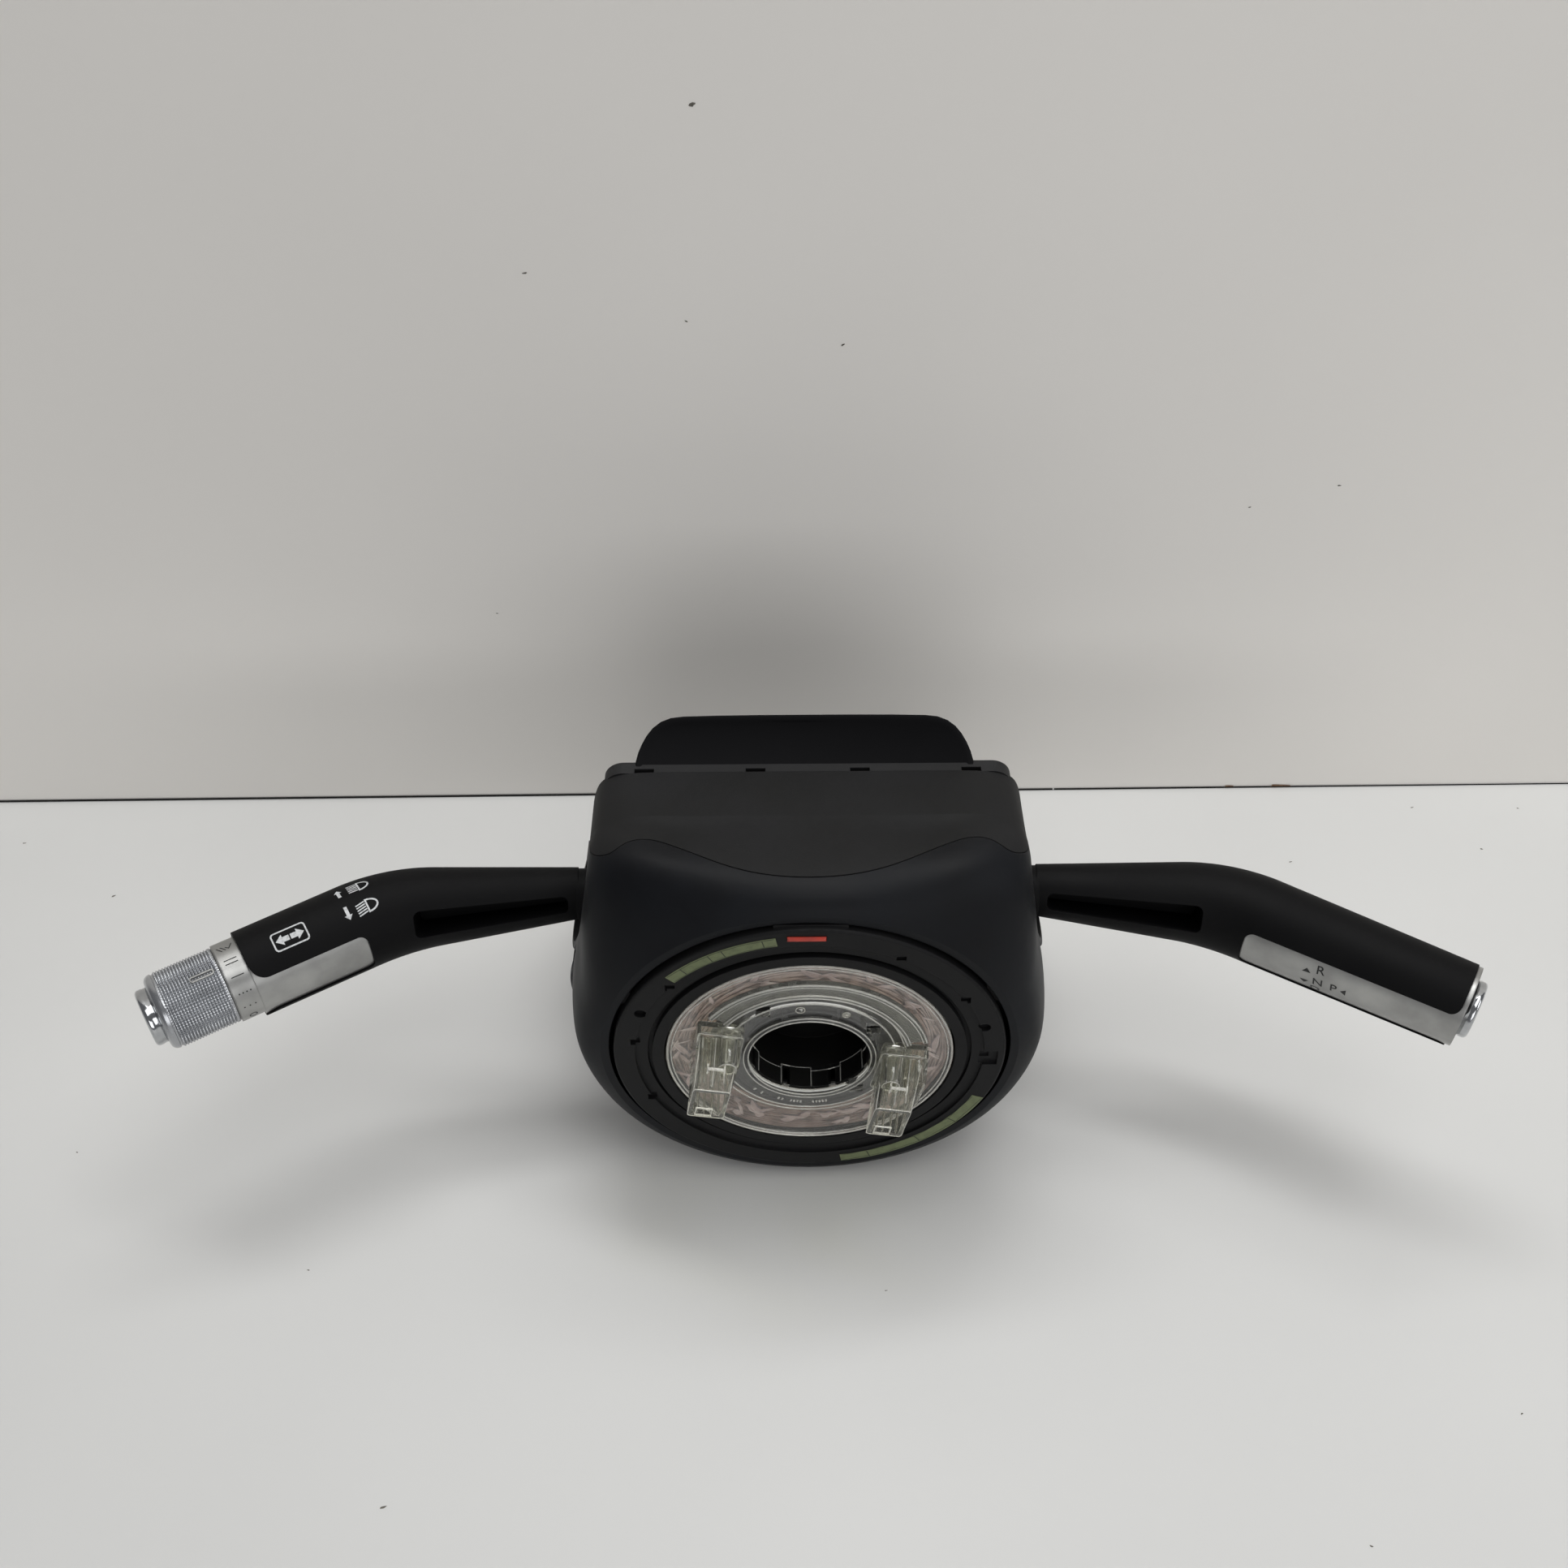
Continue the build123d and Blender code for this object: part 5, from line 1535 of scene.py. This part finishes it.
@dataclass
class DiscDetail:
    """Fine forms of the clear rotor, in a pale finish that paints highlights on them: rim beads,
    hub marks and the sleeve's bright corners.

    A bead is given by its radius, its height over the front face and its own radius.
    """

    turn: float = -11.0
    beads: tuple[Point3, ...] = (
        (41.0, -0.32, 0.3), (39.9, -0.35, 0.2), (27.4, -0.72, 0.22), (24.9, -0.02, 0.22),
        (19.1, 0.66, 0.2), (17.75, 0.66, 0.22))
    arc_beads: tuple[Point3, ...] = ((34.3, 0.95, 0.24), (33.3, 0.92, 0.15),
                                     (28.6, 0.95, 0.24), (29.6, 0.92, 0.15))
    arc_ends: Point2 = (24.0, 156.0)
    hub: float = 22.4
    mark_height: float = 0.16
    dashes: tuple[float, ...] = (-114, -111, -104, -101.5, -99, -96.5, -87, -84.5, -82, -79.5,
                                 -77, -136, -129)
    bore: float = 17.62
    notches: range = range(-148, 212, 30)

    def build(self) -> None:
        """Build the highlight beads, the hub marks and the painted highlights on the sleeve's
        edges.
        """
        for name, fill in (("disc_rim_highlight_beads", self._rims), ("carrier_edge_highlight_beads", self._arcs),
                           ("hub_moulded_marks", self._marks),
                           ("sleeve_corner_highlights", self._corners)):
            add_piece(name, fill, Finishes.EDGE_HIGHLIGHT, "rotor")

    def _bead(self, work: Mesh, radius: float, level: float, size: float,
              angles: Point2 = (0.0, 360.0)) -> None:
        """Round bead on an arc about the steering axis.

        Args:
            work: Mesh that gets the bead.
            radius: Radius of the arc.
            level: Height over the front face, towards the driver.
            size: Radius of the bead.
            angles: First and last angle in degrees.
        """
        first, last = angles
        count = max(8, int((last - first) / 2.5))
        whole = last - first > FULL_CIRCLE
        rings = []
        for i in range(count if whole else count + 1):
            a = math.radians(first + (last - first) * i / count)
            rings.append(spread(work, [
                Vector(((radius + out) * math.cos(a), -level - up, (radius + out) * math.sin(a)))
                for out, up in arc(size, range(0, 360, 45))]))
        bridge(work, rings, closed=whole)

    def _rims(self, work: Mesh) -> None:
        """Painted highlights in full circles on the disc."""
        for bead in self.beads:
            self._bead(work, *bead)

    def _arcs(self, work: Mesh) -> None:
        """Painted highlights along the edges of the raised guide over the top half.

        Args:
            work: Mesh that gets the faces.
        """
        first, last = self.arc_ends
        for bead in self.arc_beads:
            self._bead(work, *bead, (first + self.turn, last + self.turn))

    def _mark(self, work: Mesh, shapes: list[Outline], angle: float) -> None:
        """Raise flat outlines on the hub.

        Args:
            work: Mesh that gets the mark.
            shapes: Outlines of the mark.
            angle: Angle round the hub in degrees.
        """
        place = face_frame(0, angle - 90) @ Matrix.Translation((0, self.hub, 0))
        for outline in shapes:
            add_prism(work, outline, -0.02, self.mark_height, place)

    def _marks(self, work: Mesh) -> None:
        """Small raised marks on the hub: a wedge, a wheel and rows of dashes.

        Args:
            work: Mesh that gets the faces.
        """
        self._mark(work, Stroke.arrow(0, 30, 2.0, 1.6, 0) + Stroke.hoop(1.3, 0.22), 97)
        for turn in range(0, 180, 45):
            x, y = polar(1.1, turn)
            self._mark(work, Stroke.line([(-x, -y), (x, y)], 0.25), 63)
        self._mark(work, Stroke.hoop(1.1, 0.2), 63)
        for angle in self.dashes:
            add_prism(work, [(-0.28, -0.5), (0.28, -0.5), (0.28, 0.5), (-0.28, 0.5)], -0.02,
                      self.mark_height - 0.02,
                      face_frame(0, angle - 90) @ Matrix.Translation((0, self.hub - 0.1, 0)))

    def _corners(self, work: Mesh) -> None:
        """Painted highlights: bright lines on the corners of the castellations inside the bore,
        and arcs along their ends.

        Args:
            work: Mesh that gets the faces.
        """
        for angle in self.notches:
            x, z = polar(self.bore, angle)
            lay = Matrix.Translation((x, 0, z)) @ Matrix.Rotation(math.radians(90), 4, "X")
            add_lathe(work, [(-8.8, 0.0), (-8.8, 0.22), (-2.2, 0.22), (-2.2, 0.0)], lay, 10)
        for k, angle in enumerate(self.notches):
            self._bead(work, self.bore, -8.8 if k % 2 else -7.6, 0.16, (angle, angle + 30.0))


@dataclass
class CableWinding:
    """Flat cable wound under the clear disc: edge-on turns and buckled film between them."""

    inner: float = 29.6
    outer: float = 40.6
    front: float = 3.0
    back: float = 9.0
    floor_inner: float = 19.9
    margin: float = 0.2
    turns: int = 13
    steps: int = 220
    buckles: int = 72
    buckle_steps: int = 12
    seed: int = 7

    def build(self) -> None:
        """Build the turns, the buckled loops of film and the floor inside them."""
        body = "column_module"
        add_piece("flat_cable_turns", self._turns, Finishes.FILM, body, "ribbon_cable")
        for name, finish, part in (("film_buckles", Finishes.FILM_MID, FilmPart.LEAF),
                                   ("film_fold_highlights", Finishes.FILM_HIGHLIGHT, FilmPart.FOLD_HIGHLIGHT),
                                   ("film_shadows", Finishes.FILM_DARK, FilmPart.SHADOW)):
            add_piece(name, partial(self._buckled, part), finish, body)
        add_piece("cup_inner_floor", self._floor, Finishes.SLEEVE, body)

    def _floor(self, work: Mesh) -> None:
        """Black floor of the cable cup under the clear hub."""
        add_sector(work, (self.floor_inner, self.inner - 0.2), (-5.4, -4.4), face_frame(0))

    def _turns(self, work: Mesh) -> None:
        """Wavy turns of film, seen on their edges, over a floor of more turns.

        Args:
            work: Mesh that gets the faces.
        """
        rng = random.Random(self.seed)
        for turn in range(self.turns):
            base = self.inner + (self.outer - self.inner) * (turn + 0.5) / self.turns
            waves = [(rng.choice((5, 7, 9, 13)), rng.uniform(0, 6.28), rng.uniform(0.08, 0.3))
                     for _ in range(3)]
            half = rng.uniform(0.35, 0.62) / 2
            edge = self.front + rng.uniform(0.0, 0.5)
            rings = []
            for i in range(self.steps):
                a = 2 * math.pi * i / self.steps
                r = base + sum(size * math.sin(n * a + phase) for n, phase, size in waves)
                r = min(max(r, self.inner + self.margin), self.outer - self.margin)
                rings.append(spread(work, [
                    Vector(((r + d) * math.cos(a), y, (r + d) * math.sin(a)))
                    for d, y in ((-half, self.back), (-half, edge), (half, edge + 0.15),
                                 (half, self.back))]))
            bridge(work, rings, around=False, closed=True)
        add_sector(work, (self.inner, self.outer), (-self.back - 0.3, -4.1), face_frame(0))

    def _buckled(self, part: FilmPart, work: Mesh) -> None:
        """One part of every buckled loop: each part is drawn from the same seed.

        Args:
            part: Which part to add.
            work: Mesh that gets the parts.
        """
        rng = random.Random(self.seed)
        for _ in range(self.buckles):
            self._buckle(work, rng, part)

    def _buckle(self, work: Mesh, rng: random.Random, part: FilmPart) -> None:
        """One buckled loop of film: a leaf, a painted highlight along the fold at its edge, or its
        painted shadow.

        Args:
            work: Mesh that gets the part.
            rng: Source of the leaf's size and place.
            part: Which part to add.
        """
        a0 = rng.uniform(0, 2 * math.pi)
        r0 = rng.uniform(self.inner + 2.2, self.outer - 1.8)
        length = rng.uniform(3.2, 8.0)
        width = rng.uniform(0.9, 2.5)
        lean = math.radians(rng.uniform(-26, 26) + rng.choice((-34, 34)) * abs(math.cos(a0)))
        bend = rng.uniform(-0.07, 0.2)
        low, high, depth = part.value
        rows = []
        for i in range(self.buckle_steps + 1):
            t = i / self.buckle_steps
            along = (t - 0.5) * length
            half = width / 2 * math.sin(math.pi * min(max(t, 0.02), 0.98)) ** 0.7
            row = []
            for side in (low, low + (high - low) / 3, low + (high - low) * 2 / 3, high):
                u = along * math.cos(lean)
                v = along * math.sin(lean) + bend * along * along * 0.35 + side * half
                r = min(max(r0 + v, self.inner + self.margin), self.outer - 0.15)
                a = a0 + u / r0
                row.append(Vector((r * math.cos(a), depth - 0.3 * math.sin(math.pi * t),
                                   r * math.sin(a))))
            rows.append(spread(work, row))
        bridge(work, rows, around=False)


@dataclass
class RingLabel:
    """Olive label on the fixed ring, bare but for plain dividing lines."""

    name: str
    inner: float
    outer: float
    first: float
    last: float
    lines: tuple[float, ...]
    steps: int = 18
    margin: float = 0.5
    rule: float = 0.3
    border: float = 0.16

    def build(self) -> None:
        """Lay the label and its lines on the ring."""
        for part, ink, shapes, lift in (("", Finishes.LABEL, self._paper(), 0.08),
                                        ("_lines", Finishes.LABEL_MARK, self._rules(), 0.12)):
            Print(self.name + part, "column_module", "front_ring", ink, face_frame(-2), shapes,
                  lift=lift).build()
        LOG.info("%s laid at radius %.1f", self.name, (self.inner + self.outer) / 2)

    def _paper(self) -> list[Outline]:
        """Outlines of the label's field, cut into short pieces round the ring.

        Returns:
            One outline for each piece.
        """
        turns = [self.first + (self.last - self.first) * i / self.steps
                 for i in range(self.steps + 1)]
        return [[polar(self.inner, a), polar(self.outer, a), polar(self.outer, b),
                 polar(self.inner, b)] for a, b in zip(turns, turns[1:])]

    def _rules(self) -> list[Outline]:
        """Outlines of the dividing lines and of the two border lines.

        Returns:
            The lines' outlines.
        """
        rules = []
        for angle in self.lines:
            rules += Stroke.line([polar(self.inner + self.margin, angle),
                                  polar(self.outer - self.margin, angle)], self.rule)
        for edge in (self.inner + 0.35, self.outer - 0.35):
            rules += Stroke.hoop(edge, self.border, self.first + 0.6, self.last - 0.6)
        return rules


@dataclass
class GapFlap:
    """Soft rubber flap that fills the gap to the dashboard, with a bead round its free edge."""

    root: Point2 = (58.4, 59.4)
    off_centre: float = -0.9
    half: tuple[Point2, ...] = (
        (48.9, 0.0), (48.7, 2.2), (48.0, 4.8), (46.9, 7.4), (45.5, 9.8), (43.7, 12.0),
        (41.4, 13.7), (38.5, 14.8), (35.0, 15.2), (26.0, 15.4), (13.0, 15.5), (0.0, 15.5))
    bow: Point2 = (-0.178, 0.0111)
    bead: float = 0.4
    thick: float = 1.3

    def build(self) -> None:
        """Build the flap in place of its solid."""
        add_piece("gap_flap", self._fill, Finishes.COVER, "column_module", "gap_cover")

    def _point(self, x: float, rise: float, lift: float) -> Vector:
        """Place a point of the curved flap.

        Args:
            x: Distance from the flap's middle.
            rise: Distance up the flap.
            lift: Height over its front skin.

        Returns:
            The point in the row frame, in millimetres.
        """
        bow = self.bow[0] * rise + self.bow[1] * rise * rise + lift
        return Vector((x + self.off_centre, self.root[0] + (rise - bow) / math.sqrt(2),
                       self.root[1] + (rise + bow) / math.sqrt(2)))

    def _fill(self, work: Mesh) -> None:
        """Skin of the flap: bead loops along the free edge, then rows from side to side.

        Args:
            work: Mesh that gets the faces.
        """
        outline = [(-x, rise) for x, rise in self.half]
        outline += [(x, rise) for x, rise in reversed(self.half[:-1])]
        last = len(outline) - 1
        loops = []
        for inset, lift in ((0.6, -self.thick), (0.0, -self.thick + 0.4), (0.0, 0.0),
                            (0.35, self.bead), (1.5, self.bead), (2.1, 0.0)):
            loop = []
            for i, (x, rise) in enumerate(outline):
                before, after = outline[max(i - 1, 0)], outline[min(i + 1, last)]
                along = Vector((after[0] - before[0], after[1] - before[1])).normalized()
                u, v = x + along.y * inset, rise - along.x * inset
                loop.append(self._point(u, max(v, 0.0), lift))
            loops.append(spread(work, loop))
        bridge(work, loops, around=False)
        for loop in (loops[0], loops[-1]):
            for i in range(len(self.half) - 1):
                corners = [loop[i], loop[i + 1], loop[last - i - 1], loop[last - i]]
                work.faces.new(list(dict.fromkeys(corners)))


# ------------------------------------------------------------------ stage
@dataclass(frozen=True)
class Lamp:
    """Rectangular area lamp: size, place and aim in metres, power in watts."""

    name: str
    size: Point2
    power: float
    where: Point3
    aim: Point3 = (0.0, 0.02, 0.0)

    def build(self) -> None:
        """Add the lamp to the scene."""
        lamp = bpy.data.lights.new(self.name, "AREA")
        lamp.shape = "RECTANGLE"
        lamp.size, lamp.size_y = self.size
        lamp.energy = self.power
        holder = bpy.data.objects.new(self.name, lamp)
        holder.location = self.where
        away = Vector(self.aim) - Vector(self.where)
        holder.rotation_euler = away.to_track_quat("-Z", "Y").to_euler()
        bpy.context.scene.collection.objects.link(holder)


@dataclass
class Stage:
    """Table, wall behind it, lamps and camera. The specks are given by place and size."""

    table_top: float = -66.0
    half_width: float = 950.0
    table_front: float = -900.0
    table_back: float = 400.0
    wall_left: float = 173.0
    wall_right: float = 175.7
    wall_span: float = 400.0
    wall_height: float = 900.0
    wall_gap: float = 0.6
    eye: Point3 = (-6.84, -267.23, 374.10)
    pitch: float = 44.586
    roll: float = -0.4
    focal: float = 36.056
    sensor: float = 36.0
    room_colour: str = "#dfe0e4"
    room_light: float = 0.22
    seed: int = 5
    table_specks: tuple[Point3, ...] = (
        (-300.0, 149.6, 0.8), (-257.4, 122.2, 0.9), (185.0, 135.3, 0.7), (259.3, 141.3, 0.7),
        (22.8, -38.0, 0.5), (-236.2, 11.9, 0.5), (-117.4, -100.3, 1.0), (148.6, -112.2, 0.6),
        (-152.6, -30.0, 0.5), (200.8, -76.8, 0.5), (239.4, 163.7, 0.8), (280.5, 162.8, 0.7))
    wall_specks: tuple[Point3, ...] = (
        (-31.0, 203.2, 1.3), (-83.1, 154.2, 0.8), (12.4, 129.6, 0.8), (-108.4, 25.9, 0.6),
        (179.4, 75.9, 0.7), (151.0, 67.6, 0.6), (-35.8, 138.0, 0.6))
    lamps: tuple[Lamp, ...] = (
        Lamp("ceiling_row_near", (1.2, 0.2), 6.0, (0.1, 0.34, 1.5)),
        Lamp("ceiling_row_far", (1.2, 0.15), 4.6, (-0.1, 0.62, 1.45)),
        Lamp("ceiling_panel", (1.2, 0.7), 6.6, (0.3, -0.3, 1.5)),
        Lamp("window_front", (1.2, 0.8), 6.0, (0.25, -1.5, 0.55), (0.0, 0.05, 0.0)),
        Lamp("window_side", (0.8, 1.0), 6.6, (1.8, -0.9, 0.9), (0.1, 0.1, 0.1)))

    def build(self) -> None:
        """Build the stage, the lamps and the camera."""
        self._table()
        self._wall()
        self._seam()
        self._specks()
        for lamp in self.lamps:
            lamp.build()
        self._room()
        self._camera()
        LOG.info("stage, lamps and camera are set")

    @staticmethod
    def _plane(name: str, corners: Sequence[Point3], finish: Finish) -> Piece:
        """Add one flat stage piece.

        Args:
            name: Name of the piece.
            corners: Its corners in millimetres.
            finish: Its finish.

        Returns:
            The piece.
        """
        def fill(work: Mesh) -> None:
            """Add the one face."""
            work.faces.new(spread(work, map(Vector, corners)))
        piece = mesh_object(name, fill, finish, smooth=False)
        return piece

    def _table(self) -> None:
        """White table top."""
        w, z, front, back = self.half_width, self.table_top, self.table_front, self.table_back
        self._plane("table_top", [(-w, front, z), (w, front, z), (w, back, z), (-w, back, z)],
                    Finishes.TABLE)

    def _wall(self) -> None:
        """Pale wall, a hair clear of the table so that a dark line shows between them."""
        w, low = self.half_width, self.table_top + self.wall_gap
        near, far, high = self._wall_y(-w), self._wall_y(w), low + self.wall_height
        board = self._plane("wall_board", [(-w, near, low), (w, far, low), (w, far, high),
                                           (-w, near, high)], Finishes.WALL)
        # a real wall this low would let the lamp rows behind it shine over its top
        board.visible_shadow = False

    def _wall_y(self, x: float) -> float:
        """Distance of the wall behind the origin at a sideways place."""
        middle = (self.wall_left + self.wall_right) / 2
        return middle + (self.wall_right - self.wall_left) / self.wall_span * x

    def _seam(self) -> None:
        """Painted shade: a dark line where the wall stands on the table; and chips in the board's
        edge.
        """
        z = self.table_top
        for name, first, last, heights, finish in (
                ("seam_line_left", -700, 100, (1.3, 1.0), Finishes.SEAM_SHADE),
                ("seam_line_right", 100, 700, (1.0, 0.2), Finishes.SEAM_SHADE),
                ("edge_chip_a", 168.0, 171.8, (1.5, 1.3), Finishes.CHIP_BROWN),
                ("edge_chip_b", 186.5, 194.5, (1.7, 1.2), Finishes.CHIP_BROWN)):
            near, far = (self._wall_y(x) - 0.3 for x in (first, last))
            self._plane(name, [(first, near, z + 0.05), (last, far, z + 0.05),
                               (last - 0.4, far, z + heights[1]),
                               (first + 0.4, near, z + heights[0])], finish)

    def _specks(self) -> None:
        """Dust and small scratches on the table and the wall."""
        rng = random.Random(self.seed)
        table, wall = self.table_top + 0.06, -0.1
        flat = [(Vector((x, y, table)), size) for x, y, size in self.table_specks]
        upright = [(Vector((x, self._wall_y(x) + wall, z)), size)
                   for x, z, size in self.wall_specks]
        for name, spots, up in (("table_specks", flat, Vector((0, 1, 0))),
                                ("wall_specks", upright, Vector((0, 0, 1)))):
            fill = partial(self._scatter, rng, spots, up)
            mesh_object(name, fill, Finishes.SPECK, smooth=False)

    @staticmethod
    def _scatter(rng: random.Random, spots: Sequence[tuple[Vector, float]], up: Vector,
                 work: Mesh) -> None:
        """Add ragged flat specks.

        Args:
            rng: Source of their shapes.
            spots: Centre in millimetres and half length of each.
            up: Direction in the surface, at right angles to X.
            work: Mesh that gets the specks.
        """
        across, corners = Vector((1, 0, 0)), 9
        for spot, size in spots:
            lean = rng.uniform(-0.6, 0.6)
            c, s = math.cos(lean), math.sin(lean)
            points = []
            for step in range(corners):
                a = 2 * math.pi * step / corners
                u = size * math.cos(a) * rng.uniform(0.5, 1.1)
                v = 0.45 * size * math.sin(a) * rng.uniform(0.4, 1.2)
                points.append(spot + across * (u * c - v * s) + up * (u * s + v * c))
            work.faces.new(spread(work, points))

    def _room(self) -> None:
        """Dim even light from the rest of the room."""
        world = bpy.data.worlds.new("room")
        world.use_nodes = True
        shade = world.node_tree.nodes["Background"]
        shade.inputs["Color"].default_value = linear(self.room_colour)
        shade.inputs["Strength"].default_value = self.room_light
        bpy.context.scene.world = world

    def _camera(self) -> None:
        """Camera at the angle of a person who stands at the table."""
        data = bpy.data.cameras.new("eye")
        data.lens = self.focal
        data.sensor_width = self.sensor
        holder = bpy.data.objects.new("eye", data)
        tilt = Matrix.Rotation(math.radians(90 - self.pitch), 4, "X")
        turn = Matrix.Rotation(math.radians(self.roll), 4, "Z")
        holder.matrix_world = Matrix.Translation(Vector(self.eye) * MM) @ tilt @ turn
        bpy.context.scene.collection.objects.link(holder)
        bpy.context.scene.camera = holder


# ------------------------------------------------------------------ carried-over solids
SOLIDS_BY_FINISH: dict[Finish, tuple[str, ...]] = {
    Finishes.UPPER: ("upper_shroud",),
    Finishes.LOWER: ("lower_shroud",),
    Finishes.PLUG: ("blanking_plug",),
    Finishes.HOUSING: ("gap_cover_frame", "module_housing", "rear_cover"),
    Finishes.COVER: ("gap_cover",),
    Finishes.RING: ("front_ring",),
    Finishes.RED: ("red_index_tab",),
    Finishes.SHIELD: ("cable_cup", "left_dome", "right_dome"),
    Finishes.FILM: ("ribbon_cable",),
    Finishes.CLEAR: ("rotor_disc", "rotor_carrier"),
    Finishes.CLEAR_THICK: ("tower_left", "tower_right"),
    Finishes.SLEEVE: ("drive_sleeve",),
    Finishes.GEAR: ("rotor_gear", "measuring_gear_1", "measuring_gear_2"),
    Finishes.ZINC: ("housing_screws", "column_clamp", "clamp_screw", "gimbal_pin",
                    "right_pivot_pin"),
    Finishes.BOARD: ("circuit_board",),
    Finishes.CHIP: ("board_chips",),
    Finishes.CASE: ("harness_header", "switch_case_left", "selector_case_right",
                    "left_gimbal"),
    Finishes.ARM: ("left_arm", "right_arm"),
    Finishes.SILVER: ("left_trim", "left_button", "right_trim", "right_button"),
    Finishes.KNURL: ("left_knob",),
    Finishes.CHROME: ("left_button_insert", "right_button_insert"),
}


def dress_solids(solids: dict[str, Piece]) -> None:
    """Give each carried-over solid its finish.

    Args:
        solids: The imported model's objects by name.
    """
    finishes = {name: finish for finish, names in SOLIDS_BY_FINISH.items() for name in names}
    for name, solid in solids.items():
        solid.data.materials.clear()
        solid.data.materials.append(finishes[name].material())
        LOG.info("%s dressed as %s", name, finishes[name].name)


def main() -> None:
    """Build the stage, dress the solids and add each sub-assembly's fine pieces."""
    logging.basicConfig(level=logging.INFO, format="%(name)s: %(message)s")
    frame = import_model()
    Stage().build()
    Skins.solids.update(frame["nodes"])
    dress_solids(frame["nodes"])
    for part in (
            WiperKnob(),
            EndButton("left_end_button", LEFT_RUN, "washer_button",
                      ("left_button", "left_button_insert"), first=23.4, last=30.2, stem=12.0),
            EndButton("right_end_button", RIGHT_RUN, "park_button",
                      ("right_button", "right_button_insert"), first=26.2, last=31.0, stem=16.0),
            StalkPrints(),
            GapFlap(),
            CableWinding(),
            PlugTower("plug_tower_left", "tower_left", Side.LEFT, 18.8, shift=-1.2, lean=-0.02),
            PlugTower("plug_tower_right", "tower_right", Side.RIGHT, 12.5, shift=-0.1,
                      lean=-0.14),
            DiscDetail(),
            RingLabel("ring_label_upper", 50.9, 54.3, 100.0, 136.8, (104.0, 116.5, 121.0, 131.0)),
            RingLabel("ring_label_lower", 52.2, 55.9, -79.4, -22.0, (-70.0, -52.0, -37.0))):
        part.build()
    bpy.context.scene.view_settings.view_transform = "Standard"


if __name__ == "__main__":
    main()
